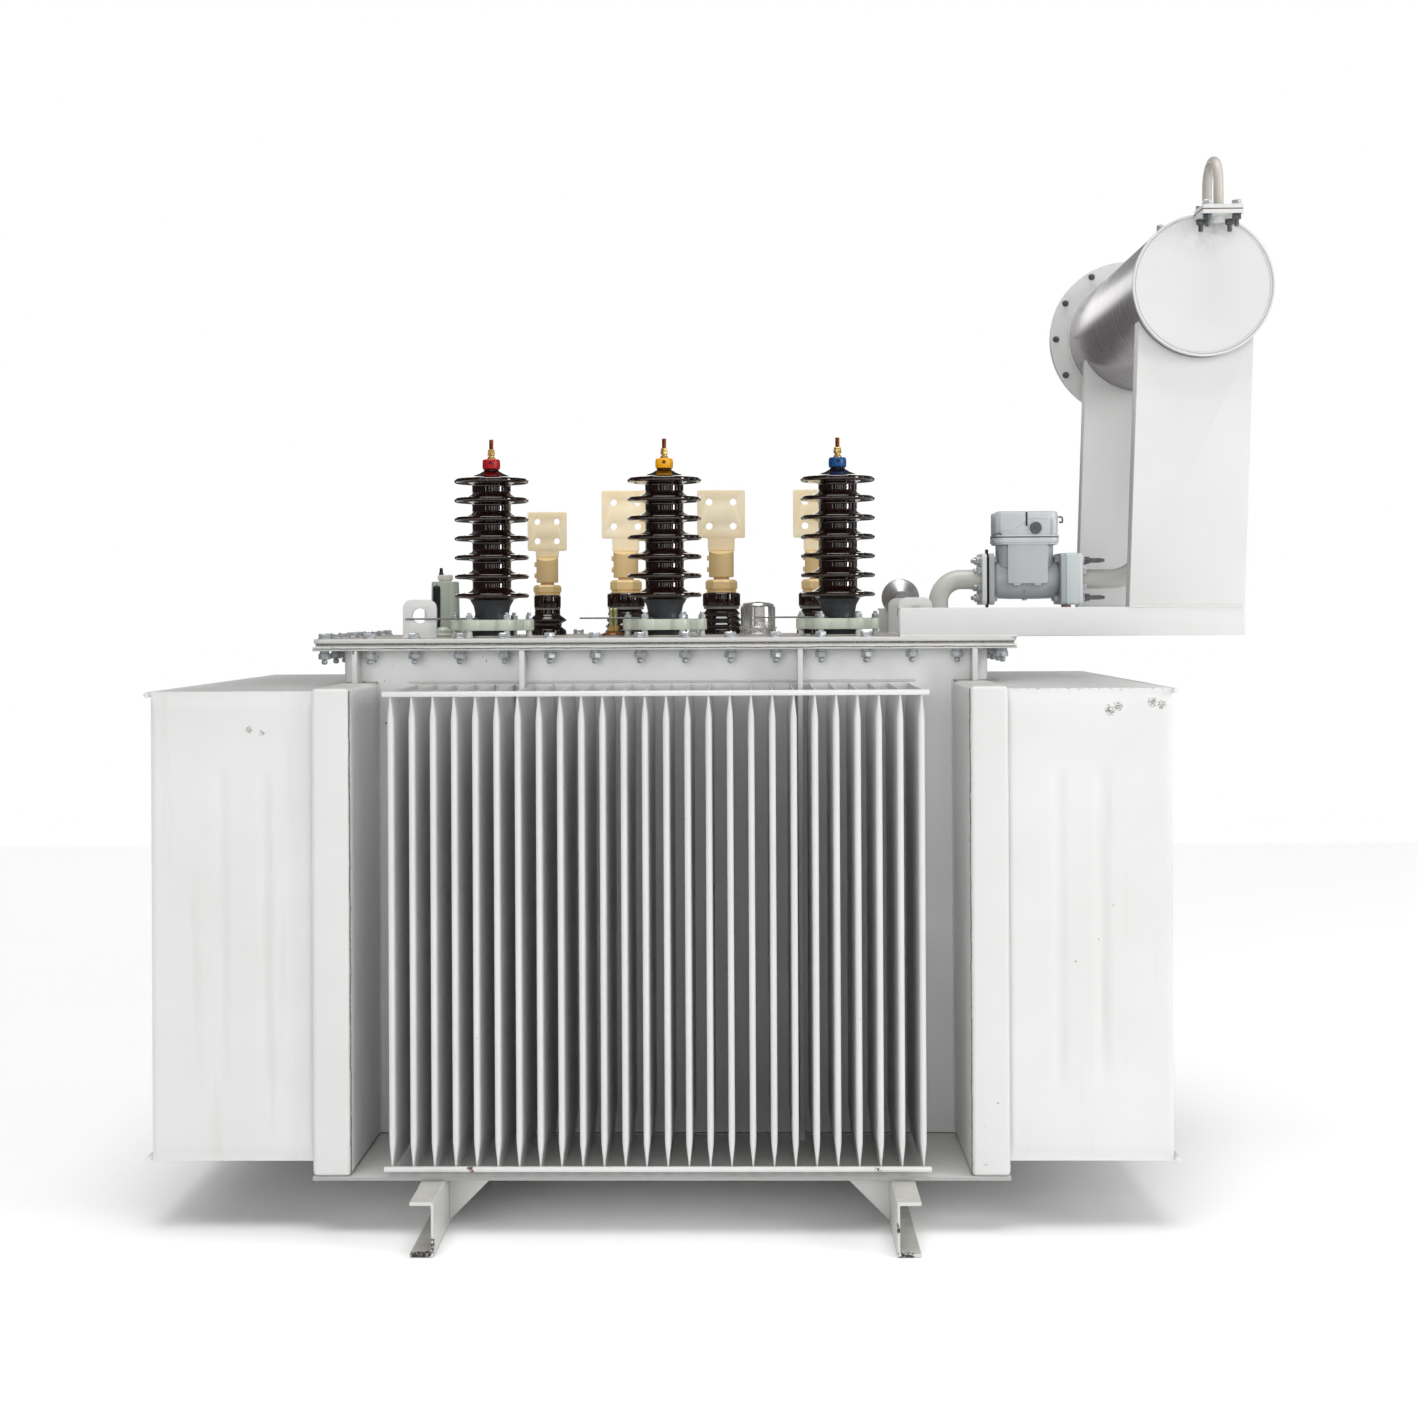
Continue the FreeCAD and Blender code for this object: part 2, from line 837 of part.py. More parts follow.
def lv_terminal(name, x, kind, height):
    """A brass terminal: nut, round stem, and a flat pad with four bolt holes."""
    base = "%s + %s" % (COVER_TOP, height)
    nut_top = "%s + %s_nut_height" % (base, kind)
    stem_top = "%s + %s_stem_height" % (nut_top, kind)
    nut = cylinder(
        name + "_nut", "%s_nut_radius" % kind, "%s_nut_height" % kind, x, "lv_line_y", base
    )
    stem = cylinder(
        name + "_stem", "%s_stem_radius" % kind, "%s_stem_height" % kind, x, "lv_line_y", nut_top
    )
    body = new_body(name + "_pad")
    neck = "%s_pad_neck / 2" % kind
    half = "%s_pad / 2" % kind
    neck_top = "%s_pad_neck_height" % kind
    top = "(%s_pad_neck_height + %s_pad)" % (kind, kind)
    points = [
        ("-" + neck, "0"),
        (neck, "0"),
        (neck, neck_top),
        (half, neck_top),
        (half, top),
        ("-" + half, top),
        ("-" + half, neck_top),
        ("-" + neck, neck_top),
    ]
    plate = pad(body, name + "_pad_plate", "XZ_Plane", points, "%s_pad_plate" % kind, True)
    doc.recompute()
    before = plate.Shape.Volume
    holes = sketch_on(body, name + "_holes", "XZ_Plane")
    for i, (x_sign, y_sign) in enumerate(((1, 1), (-1, 1), (-1, -1), (1, -1))):
        hole_x = "%d * %s_hole_spacing / 2" % (x_sign, kind)
        hole_z = "%s + %s_pad / 2 + %d * %s_hole_spacing / 2" % (neck_top, kind, y_sign, kind)
        radius = size("%s_hole_radius" % kind)
        centre = V(evaluate(hole_x), evaluate(hole_z), 0)
        holes.addGeometry(Part.Circle(centre, V(0, 0, 1), radius), False)
        pin_point(holes, i, 3, (hole_x, hole_z))
        index = holes.addConstraint(Sketcher.Constraint("Radius", i, radius))
        bind(holes, "Constraints[%d]" % index, "%s_hole_radius" % kind)
    pocket = body.newObject("PartDesign::Pocket", name + "_bolt_holes")
    pocket.Profile = holes
    pocket.Type = "ThroughAll"
    doc.recompute()
    if pocket.Shape.Volume >= before:
        raise RuntimeError("the bolt holes of %s cut nothing" % name)
    at(body, x, "lv_line_y - %s_pad_plate / 2" % kind, stem_top)
    return fuse(name, nut, stem, body)


def make_lv_bushings():
    porcelains = []
    terminals = []
    for side in ("left", "middle", "right"):
        x = "lv_%s_x" % side
        porcelains.append(
            lv_porcelain("lv_porcelain_" + side, x, "lv_radius", "lv_foot_radius", "lv_height")
        )
        terminals.append(lv_terminal("lv_terminal_" + side, x, "lv", "lv_height"))
    node(together("lv_porcelains", porcelains), "lv_bushings")
    node(together("lv_brass", terminals), "lv_terminals")
    node(
        lv_porcelain(
            "neutral_porcelain", "neutral_x", "neutral_radius", "neutral_foot_radius", "neutral_height"
        ),
        "neutral_bushing",
    )
    node(lv_terminal("neutral_brass", "neutral_x", "neutral", "neutral_height"), "neutral_terminal")


# ---------------------------------------------------------------- lifting lugs


def make_lugs():
    """Four upright plates on the cover, each with a round eye for a lifting hook."""
    lugs = []
    for side, x in (("left", "-lug_x"), ("right", "lug_x")):
        for end in ("front", "rear"):
            name = "%s_%s_lug" % (side, end)
            y = "lug_%s_y - lug_plate / 2" % end
            plate = box(
                name + "_plate", "lug_width", "lug_plate", "lug_height",
                "%s - lug_width / 2" % x, y, COVER_TOP,
            )
            doc.recompute()
            rounded = doc.addObject("Part::Fillet", name + "_rounded")
            rounded.Base = plate
            top = plate.Shape.BoundBox.ZMax
            radius = size("lug_width") / 4
            rounded.Edges = [
                (number, radius, radius)
                for number, edge in enumerate(plate.Shape.Edges, start=1)
                if abs(edge.tangentAt(edge.FirstParameter).y) > 0.99
                and abs(edge.CenterOfMass.z - top) < 1
            ]
            eye = cylinder(
                name + "_eye", "lug_hole_radius", "lug_plate", x, y,
                "%s + lug_hole_z" % COVER_TOP, "Y",
            )
            lugs.append(cut(name, rounded, eye))
    node(together("lugs", lugs), "lifting_lugs")


# ---------------------------------------------------------------- conservator


def conservator_cylinder(name, radius, length, y):
    return cylinder(name, radius, length, "conservator_x", y, "conservator_z", "Y")


def make_conservator():
    """A horizontal oil drum: rolled shell, welded front end, flanged and bolted rear end."""
    outer = conservator_cylinder(
        "shell_outside", "conservator_radius", "conservator_length", "conservator_front_y"
    )
    inner = conservator_cylinder(
        "shell_inside",
        "conservator_radius - conservator_wall",
        "conservator_length",
        "conservator_front_y",
    )
    node(cut("shell", outer, inner), "conservator_shell")
    node(
        conservator_cylinder(
            "front_end_plate",
            "conservator_radius + conservator_end_rim",
            "conservator_end_plate",
            "conservator_front_y - conservator_end_plate",
        ),
        "conservator_front_end",
    )
    back = "conservator_front_y + conservator_length"
    ring = conservator_cylinder(
        "rear_ring_outside", REAR_FLANGE_RADIUS, "rear_flange_plate", back + " - rear_flange_plate"
    )
    hole = conservator_cylinder(
        "rear_ring_inside", "conservator_radius", "rear_flange_plate", back + " - rear_flange_plate"
    )
    node(cut("rear_ring", ring, hole), "conservator_flange")
    node(
        conservator_cylinder("rear_lid", REAR_FLANGE_RADIUS, "rear_flange_plate", back),
        "conservator_rear_cover",
    )


LEG_BASE = "(%s + beam_height)" % COVER_TOP


def stand_leg(name, y):
    """A folded upright, open to the back, whose top is cut to the conservator's round."""
    body = new_body(name + "_folded")
    rise = "(conservator_z - %s)" % LEG_BASE
    left = "-leg_width / 2"
    right = "leg_width / 2"
    sheets = (
        ("face", left, right, "leg_plate"),
        ("left_return", left, "leg_plate - leg_width / 2", "leg_return"),
        ("right_return", "leg_width / 2 - leg_plate", right, "leg_return"),
    )
    for part, start, end, depth in sheets:
        points = [
            (start, "0"),
            (end, "0"),
            ("%s + leg_lean" % end, rise),
            ("%s + leg_lean" % start, rise),
        ]
        pad(body, "%s_%s" % (name, part), "XZ_Plane", points, depth, True)
    at(body, "leg_foot_x", y, LEG_BASE)
    saddle = conservator_cylinder(
        name + "_saddle", "conservator_radius + saddle_gap", "leg_return", y
    )
    return cut(name, body, saddle)


def stand_beam(name, y):
    """A folded beam, open to the back, that carries one leg out past the tank's end."""
    body = new_body(name + "_folded")
    length = "(leg_foot_x + leg_width / 2 - beam_start_x)"
    sheets = (
        ("face", "0", "beam_height", "beam_plate"),
        ("lower_return", "0", "beam_plate", "beam_flange"),
        ("upper_return", "beam_height - beam_plate", "beam_height", "beam_flange"),
    )
    for part, low, high, depth in sheets:
        points = [("0", low), (length, low), (length, high), ("0", high)]
        pad(body, "%s_%s" % (name, part), "XZ_Plane", points, depth, True)
    return at(body, "beam_start_x", y, COVER_TOP)


def make_stand():
    for end, y in (("front", "front_stand_y"), ("rear", "rear_stand_y")):
        node(stand_beam("%s_stand_beam" % end, y), "%s_beam" % end)
        node(stand_leg("%s_stand_leg" % end, y), "%s_leg" % end)


def make_breather():
    """An upturned U of pipe on the conservator, with a blanked square flange at its open end."""
    arch_z = "(breather_top_z - breather_radius - breather_bend)"
    foot_z = "conservator_z + conservator_radius - conservator_wall"
    pad_top = "breather_pad_z"
    rear = cylinder(
        "breather_rear_limb", "breather_radius", "%s - (%s)" % (arch_z, foot_z),
        BREATHER_X, "breather_rear_y", foot_z,
    )
    front = cylinder(
        "breather_front_limb", "breather_radius", "%s - %s" % (arch_z, pad_top),
        BREATHER_X, BREATHER_FRONT_Y, pad_top,
    )
    quarters = [
        elbow(
            "breather_%s_quarter" % side, "breather_bend", "breather_radius",
            BREATHER_X, "breather_rear_y - breather_bend", arch_z, start, end,
        )
        for side, start, end in (("rear", BACKWARD, UPWARD), ("front", UPWARD, -BACKWARD))
    ]
    pipe = fuse("breather_bent", rear, quarters[0], quarters[1], front)
    drum = conservator_cylinder(
        "breather_seat", "conservator_radius", "conservator_length", "conservator_front_y"
    )
    node(cut("breather", pipe, drum), "breather_pipe")
    pads = box(
        "breather_pad_plates", "breather_pad", "breather_pad", "2 * breather_pad_plate",
        "%s - breather_pad / 2" % BREATHER_X, "%s - breather_pad / 2" % BREATHER_FRONT_Y,
        "breather_pad_z - 2 * breather_pad_plate",
    )
    node(pads, "breather_flange")


# ---------------------------------------------------------------- oil pipe and gas relay


def square_plate(name, side, thickness, x):
    """A square plate across the oil pipe's axis."""
    half = "%s / 2" % side
    return box(
        name, thickness, side, side, x, "pipe_y - %s" % half, "pipe_z - %s" % half
    )


def make_oil_pipe():
    """Pipe from the cover up to the relay, and from the valve up into the conservator."""
    first_flange_x = "relay_start_x - pipe_gasket - pipe_flange_plate"
    riser = cylinder(
        "lower_riser", "pipe_radius", "pipe_z - lower_bend - %s" % COVER_TOP,
        "lower_pipe_x", "pipe_y", COVER_TOP,
    )
    lower_turn = elbow(
        "lower_turn", "lower_bend", "pipe_radius",
        "lower_pipe_x + lower_bend", "pipe_y", "pipe_z - lower_bend",
        UPWARD, -RIGHTWARD,
    )
    lower_run = cylinder(
        "lower_run", "pipe_radius", "%s - lower_pipe_x - lower_bend" % first_flange_x,
        "lower_pipe_x + lower_bend", "pipe_y", "pipe_z", "X",
    )
    lower_flange = square_plate("lower_flange", "pipe_flange", "pipe_flange_plate", first_flange_x)
    node(fuse("lower", riser, lower_turn, lower_run, lower_flange), "lower_pipe")
    gasket_side = "(pipe_flange - 2 * pipe_gasket_inset)"
    gasket = square_plate("pipe_joint", gasket_side, "pipe_gasket", "relay_start_x - pipe_gasket")
    node(gasket, "pipe_gasket")

    upper_flange = square_plate("upper_flange", "pipe_flange", "pipe_flange_plate", VALVE_END)
    run_start = "(%s + pipe_flange_plate)" % VALVE_END
    upper_run = cylinder(
        "upper_run", "pipe_radius", "upper_pipe_x - upper_bend - %s" % run_start,
        run_start, "pipe_y", "pipe_z", "X",
    )
    upper_turn = elbow(
        "upper_turn", "upper_bend", "pipe_radius",
        "upper_pipe_x - upper_bend", "pipe_y", "pipe_z + upper_bend",
        -UPWARD, RIGHTWARD,
    )
    upper_riser = cylinder(
        "upper_riser", "pipe_radius", "conservator_z - pipe_z - upper_bend",
        "upper_pipe_x", "pipe_y", "pipe_z + upper_bend",
    )
    upper = fuse("upper", upper_flange, upper_run, upper_turn, upper_riser)
    drum = conservator_cylinder(
        "upper_pipe_seat", "conservator_radius", "conservator_length", "conservator_front_y"
    )
    node(cut("upper_fitted", upper, drum), "upper_pipe")


def make_relay():
    """The gas relay: a flanged barrel with a window box and a head, and the valve behind it."""
    start = "relay_start_x"
    first = square_plate("relay_first_flange", "pipe_flange", "relay_flange_plate", start)
    second = square_plate(
        "relay_second_flange", "pipe_flange", "relay_flange_plate",
        "%s - relay_flange_plate" % RELAY_END,
    )
    barrel = cylinder(
        "relay_barrel", "relay_barrel_radius", "relay_length", start, "pipe_y", "pipe_z", "X"
    )
    middle = "relay_start_x + relay_length / 2"
    window_box = box(
        "relay_window_box", "relay_box_width", "relay_box_depth", "relay_box_top_z - pipe_z",
        "%s - relay_box_width / 2" % middle, "pipe_y - relay_box_depth / 2", "pipe_z",
    )
    node(fuse("relay", first, barrel, window_box, second), "relay_body")
    node(
        box(
            "relay_head_box", "relay_head_width", "relay_head_depth", "relay_head_height",
            "%s - relay_head_width / 2" % middle, "pipe_y - relay_head_depth / 2", "relay_box_top_z",
        ),
        "relay_head",
    )
    node(square_plate("valve_block", "valve_size", "valve_length", RELAY_END), "relay_valve")


# ---------------------------------------------------------------- small fittings


def turned_fitting(name, label, x, y, points):
    body = new_body(name)
    turn(body, name + "_turned", points)
    at(body, x, y, COVER_TOP)
    node(body, label)


FILLER_X = "hv_shift_x - hv_clamp_radius - hv_clamp_ear - filler_clamp_gap"


def make_fittings():
    turned_fitting(
        "dome", "relief_dome", "dome_x", "dome_y",
        [
            ("0", "0"),
            ("dome_base_radius", "0"),
            ("dome_base_radius", "dome_base_height"),
            ("dome_radius", "dome_base_height"),
            ("dome_radius", "dome_height - dome_base_height"),
            ("dome_radius - dome_base_height", "dome_height"),
            ("0", "dome_height"),
        ],
    )
    turned_fitting(
        "filler", "filler_valve", FILLER_X, "filler_y",
        [
            ("0", "0"),
            ("filler_radius", "0"),
            ("filler_radius", "filler_height / 5"),
            ("filler_radius / 2", "filler_height * 0.4"),
            ("filler_radius / 2", "filler_height * 0.6"),
            ("filler_radius / 4", "filler_height * 0.6"),
            ("filler_radius / 4", "filler_height"),
            ("0", "filler_height"),
        ],
    )
    turned_fitting(
        "sensor", "sensor_head", "sensor_x", "sensor_y",
        [
            ("0", "0"),
            ("sensor_base_radius", "0"),
            ("sensor_base_radius", "sensor_base_height"),
            ("sensor_radius", "sensor_base_height"),
            ("sensor_radius", "sensor_height"),
            ("sensor_radius / 2", "sensor_height"),
            ("sensor_radius / 2", "sensor_height + sensor_base_height"),
            ("0", "sensor_height + sensor_base_height"),
        ],
    )
    disc = cylinder(
        "disc_plate", "disc_radius", "disc_plate", "disc_x", "disc_y - disc_plate", "disc_z", "Y"
    )
    neck = cylinder(
        "disc_neck", "disc_neck_radius", "disc_z - %s" % COVER_TOP, "disc_x",
        "disc_y + disc_stem_radius", COVER_TOP,
    )
    barrel = cylinder(
        "disc_barrel", "disc_stem_radius", "2 * disc_stem_radius", "disc_x", "disc_y", "disc_z", "Y"
    )
    node(fuse("disc", disc, neck, barrel), "disc_valve")

    filling = cylinder(
        "filling_neck", "neck_radius", "neck_height",
        "conservator_x", "neck_y", "conservator_z + conservator_radius",
    )
    drain = cylinder(
        "drain_plug", "drain_radius", "drain_height",
        "conservator_x", "drain_y", "conservator_z - conservator_radius - drain_height",
    )
    node(together("plugs", [filling, drain]), "conservator_plugs")


make_tank()
make_cover()
make_stiffeners()
make_fins()
make_fin_bars()
make_skids()
make_hv_bushings()
make_lv_bushings()
make_lugs()
make_conservator()
make_stand()
make_breather()
make_oil_pipe()
make_relay()
make_fittings()

# ---------------------------------------------------------------- checks and files

doc.recompute()
for item in doc.Objects:
    if "Invalid" in item.State or "Error" in item.State:
        raise RuntimeError("%s failed: %s" % (item.Name, item.State))
for item in nodes:
    if item.Shape.isNull() or not item.Shape.isValid():
        raise RuntimeError("%s has no valid shape" % item.Label)

os.makedirs("parts", exist_ok=True)
for item in nodes:
    item.Shape.exportStep("parts/%s.step" % item.Label)
print("%d sub-parts written" % len(nodes))
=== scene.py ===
import json
import math
import random

import bmesh
import bpy
from mathutils import Matrix, Vector


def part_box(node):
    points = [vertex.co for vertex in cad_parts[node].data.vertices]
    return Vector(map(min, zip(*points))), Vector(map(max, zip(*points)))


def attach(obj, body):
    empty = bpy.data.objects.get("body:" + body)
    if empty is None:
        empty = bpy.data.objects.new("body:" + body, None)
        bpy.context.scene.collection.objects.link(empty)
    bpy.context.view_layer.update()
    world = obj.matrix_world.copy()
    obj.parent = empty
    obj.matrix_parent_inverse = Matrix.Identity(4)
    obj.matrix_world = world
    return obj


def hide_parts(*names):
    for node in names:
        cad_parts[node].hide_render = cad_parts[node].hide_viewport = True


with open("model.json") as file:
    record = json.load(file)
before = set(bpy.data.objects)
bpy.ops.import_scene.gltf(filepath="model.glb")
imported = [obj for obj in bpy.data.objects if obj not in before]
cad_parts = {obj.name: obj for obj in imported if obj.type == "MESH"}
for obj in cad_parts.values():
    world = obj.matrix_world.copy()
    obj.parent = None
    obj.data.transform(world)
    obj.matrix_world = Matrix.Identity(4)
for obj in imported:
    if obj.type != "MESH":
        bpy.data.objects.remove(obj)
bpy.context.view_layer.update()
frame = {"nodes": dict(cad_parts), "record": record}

# ---------------------------------------------------------------- studio
# A white floor under a white sky, two wide soft suns, and upright light panels in front that
# draw the narrow highlights on glaze and metal. Gloss sees a dark room with a bright rear wall.

scene = bpy.context.scene
scene.view_settings.view_transform = "Standard"


def linear(hex_colour):
    """An sRGB hex colour as linear RGBA."""
    values = [int(hex_colour[i : i + 2], 16) / 255 for i in (1, 3, 5)]
    return [v / 12.92 if v <= 0.04045 else ((v + 0.055) / 1.055) ** 2.4 for v in values] + [1.0]


def add(tree, kind, inputs=None, **settings):
    """Add a node, set its properties, and set or link its inputs by name or number."""
    node = tree.nodes.new(kind)
    for name, value in settings.items():
        setattr(node, name, value)
    for name, value in (inputs or {}).items():
        if isinstance(value, bpy.types.NodeSocket):
            tree.links.new(value, node.inputs[name])
        else:
            node.inputs[name].default_value = value
    return node


def stand(name, data, location=(0, 0, 0), rotation=(0, 0, 0)):
    """Put a new object in the scene, with its turn in degrees."""
    thing = bpy.data.objects.new(name, data)
    scene.collection.objects.link(thing)
    thing.location = location
    thing.rotation_euler = [math.radians(angle) for angle in rotation]
    return thing


EYE = (0.0213, -4.887, 1.3176)
camera = stand("camera", bpy.data.cameras.new("camera"), EYE, (90, 0.283, 1.0))
camera.data.sensor_width = 36
camera.data.lens = 51.38
camera.data.shift_y = -0.069
scene.camera = camera

# The camera sees white, matt surfaces get an even light, and gloss sees a dark room whose rear
# wall, towards +Y, carries one bright level band: the streak along the bare steel drum.
SKY_LIGHT, ROOM_DARK, BAND_BRIGHT = 0.31, 0.05, 1.8
sky = bpy.data.worlds.new("studio_sky")
sky.use_nodes = True
tree = sky.node_tree
tree.nodes.clear()
ray = add(tree, "ShaderNodeLightPath").outputs
way = add(tree, "ShaderNodeSeparateXYZ", {0: add(tree, "ShaderNodeTexCoord").outputs["Generated"]}).outputs
behind = add(tree, "ShaderNodeMapRange", {0: way[1], 1: 0.7, 2: 0.9})
above = add(tree, "ShaderNodeMapRange", {0: way[2], 1: 0.10, 2: 0.16})
below = add(tree, "ShaderNodeMapRange", {0: way[2], 1: 0.30, 2: 0.26})
band = add(tree, "ShaderNodeMath", {0: above.outputs[0], 1: below.outputs[0]}, operation="MULTIPLY")
wall = add(tree, "ShaderNodeMath", {0: band.outputs[0], 1: behind.outputs[0]}, operation="MULTIPLY")
gloss = add(tree, "ShaderNodeMapRange", {0: wall.outputs[0], 3: ROOM_DARK, 4: BAND_BRIGHT})
room = add(tree, "ShaderNodeMix", {0: ray["Is Glossy Ray"], 2: SKY_LIGHT, 3: gloss.outputs[0]})
shown = add(tree, "ShaderNodeMix", {0: ray["Is Camera Ray"], 2: room.outputs[0], 3: 1.0})
glow = add(tree, "ShaderNodeBackground", {"Color": (1, 1, 1, 1), "Strength": shown.outputs[0]})
add(tree, "ShaderNodeOutputWorld", {"Surface": glow.outputs[0]})
scene.world = sky

# The key lights the fronts and makes no highlight of its own; the top one lights what lies flat.
for name, power, spread, turn in (("key_sun", 1.14, 40, (82, 0, -10)), ("top_sun", 2.0, 40, (6, 0, 0))):
    sun = bpy.data.lights.new(name, "SUN")
    sun.energy = power
    sun.angle = math.radians(spread)
    lamp = stand(name, sun, (0, 0, 4), turn)
    lamp.visible_glossy = name != "key_sun"

# Upright light panels, as (x, y, width, brightness), all turned to the object.
PANEL_HEIGHT, PANEL_MIDDLE, PANEL_TILT = 2.4, 2.6, 80
PANELS = (
    (-3.4, -5.4, 0.16, 5), (-1.3, -6.2, 0.10, 6), (0.1, -6.3, 0.10, 6), (1.0, -6.2, 0.10, 6),
    (2.0, -6.0, 0.10, 6), (3.1, -5.5, 0.10, 6), (4.2, -4.4, 0.10, 6), (5.2, -3.0, 0.9, 15),
    (5.6, -0.6, 0.16, 6),
)
for number, (x, y, width, brightness) in enumerate(PANELS):
    name = "panel_%d" % number
    panel = bpy.data.lights.new(name, "AREA")
    panel.shape = "RECTANGLE"
    panel.size, panel.size_y = width, PANEL_HEIGHT
    panel.energy = brightness * math.pi * width * PANEL_HEIGHT
    stand(name, panel, (x, y, PANEL_MIDDLE), (PANEL_TILT, 0, math.degrees(math.atan2(x, -y))))

FLOOR_HALF = 6.5
floor_mesh = bpy.data.meshes.new("floor")
corners = [(x * FLOOR_HALF, y * FLOOR_HALF, 0) for x, y in ((-1, -1), (1, -1), (1, 1), (-1, 1))]
floor_mesh.from_pydata(corners, [], [(0, 1, 2, 3)])
floor = stand("floor", floor_mesh)
floor_paint = bpy.data.materials.new("studio_floor")
floor_paint.use_nodes = True
matt = floor_paint.node_tree.nodes["Principled BSDF"].inputs
matt["Base Color"].default_value = linear("#FBFBFB")
matt["Roughness"].default_value = 0.9
matt["Specular IOR Level"].default_value = 0.1
floor_mesh.materials.append(floor_paint)

# ---------------------------------------------------------------- tank
# A welded box of 6 to 8 mm steel plate with a deep box header at each end, sprayed with light
# grey enamel over primer. The paint is satin, a little cloudy, dusty on top and chipped at edges.


def blank(name):
    """A new material with an empty tree, that tree, and the surface's own coordinates in metres."""
    material = bpy.data.materials.new(name)
    material.use_nodes = True
    tree = material.node_tree
    tree.nodes.clear()
    return material, tree, add(tree, "ShaderNodeTexCoord").outputs["Object"]


def enamel(name, colour, dust=0.5, wear=0.3, roughness=0.38, run=0.0, chip="#85766A"):
    """Sprayed enamel: cloudy tone, dust on what faces up, small chips down to primer."""
    material, tree, place = blank(name)
    up = add(tree, "ShaderNodeSeparateXYZ", {0: add(tree, "ShaderNodeNewGeometry").outputs["Normal"]})

    # Clouds about 250 mm across, where the spray went on thicker.
    cloud = add(tree, "ShaderNodeTexNoise", {"Vector": place, "Scale": 4.0, "Detail": 6.0})
    cloudy = add(tree, "ShaderNodeMapRange", {0: cloud.outputs[0], 1: 0.35, 2: 0.75, 3: 0.0, 4: 0.22})
    tone = add(
        tree, "ShaderNodeMix", {0: cloudy.outputs[0], 6: linear(colour), 7: linear("#B9BAB6")},
        data_type="RGBA"
    )

    # Rain runs about 30 mm apart and 600 mm long.
    stretched = add(tree, "ShaderNodeMapping", {0: place, "Scale": (30, 30, 1.6)})
    streak = add(tree, "ShaderNodeTexNoise", {"Vector": stretched.outputs[0], "Scale": 1.0, "Detail": 4.0})
    runs = add(tree, "ShaderNodeMapRange", {0: streak.outputs[0], 1: 0.58, 2: 0.72, 3: 0.0, 4: run})
    stained = add(
        tree, "ShaderNodeMix", {0: runs.outputs[0], 6: tone.outputs[2], 7: linear("#A59C92")},
        data_type="RGBA"
    )

    # Dust in 45 mm patches.
    flat = add(tree, "ShaderNodeMapRange", {0: up.outputs[2], 1: 0.6, 2: 0.98})
    grit = add(tree, "ShaderNodeTexNoise", {"Vector": place, "Scale": 22.0, "Detail": 8.0, "Roughness": 0.7})
    gritty = add(tree, "ShaderNodeMapRange", {0: grit.outputs[0], 1: 0.3, 2: 0.7, 3: 0.35, 4: 1.0})
    heap = add(tree, "ShaderNodeMath", {0: flat.outputs[0], 1: gritty.outputs[0]}, operation="MULTIPLY")
    cover = add(tree, "ShaderNodeMath", {0: heap.outputs[0], 1: dust}, operation="MULTIPLY")
    dusty = add(
        tree, "ShaderNodeMix", {0: cover.outputs[0], 6: stained.outputs[2], 7: linear("#8F857B")},
        data_type="RGBA"
    )

    # Chips of a few millimetres, in the few places where knocks gather.
    knock = add(tree, "ShaderNodeTexNoise", {"Vector": place, "Scale": 85.0, "Detail": 3.0})
    region = add(tree, "ShaderNodeTexNoise", {"Vector": place, "Scale": 2.3, "Detail": 1.0})
    knocked = add(tree, "ShaderNodeMath", {0: knock.outputs[0], 1: region.outputs[0]}, operation="MULTIPLY")
    least = 0.505 - 0.03 * wear
    chipped = add(tree, "ShaderNodeMapRange", {0: knocked.outputs[0], 1: least, 2: least + 0.007})
    bare = add(
        tree, "ShaderNodeMix", {0: chipped.outputs[0], 6: dusty.outputs[2], 7: linear(chip)},
        data_type="RGBA"
    )

    # Orange peel, drawn at 2.4 mm because the real one, under 1 mm, is too fine to show.
    peel = add(tree, "ShaderNodeTexNoise", {"Vector": place, "Scale": 420.0, "Detail": 2.0})
    skin = add(tree, "ShaderNodeBump", {"Height": peel.outputs[0], "Strength": 0.06, "Distance": 0.0008})
    gloss = add(tree, "ShaderNodeMath", {0: cover.outputs[0], 1: 0.4, 2: roughness}, operation="MULTIPLY_ADD")
    paint = add(
        tree,
        "ShaderNodeBsdfPrincipled",
        {"Base Color": bare.outputs[2], "Roughness": gloss.outputs[0], "Normal": skin.outputs[0], "IOR": 1.5},
    )
    add(tree, "ShaderNodeOutputMaterial", {"Surface": paint.outputs[0]})
    return material


def overlay(material, amount, colour):
    """Lay a colour over a finished material's own, as far as the amount says."""
    tree = material.node_tree
    base = next(node for node in tree.nodes if node.type == "BSDF_PRINCIPLED").inputs["Base Color"]
    over = {0: amount, 6: base.links[0].from_socket, 7: linear(colour)}
    tree.links.new(add(tree, "ShaderNodeMix", over, data_type="RGBA").outputs[2], base)


def settle(name, mesh, material, slot, *stands_for, crease=35):
    """Make a mesh a finished piece on the body, in place of the plain solids it stands for."""
    mesh.shade_smooth()
    mesh.set_sharp_from_angle(angle=math.radians(crease))
    if material:
        mesh.materials.clear()
        mesh.materials.append(material)
    piece = stand(name, mesh)
    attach(piece, "root")
    if stands_for:
        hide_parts(*stands_for)
    return piece


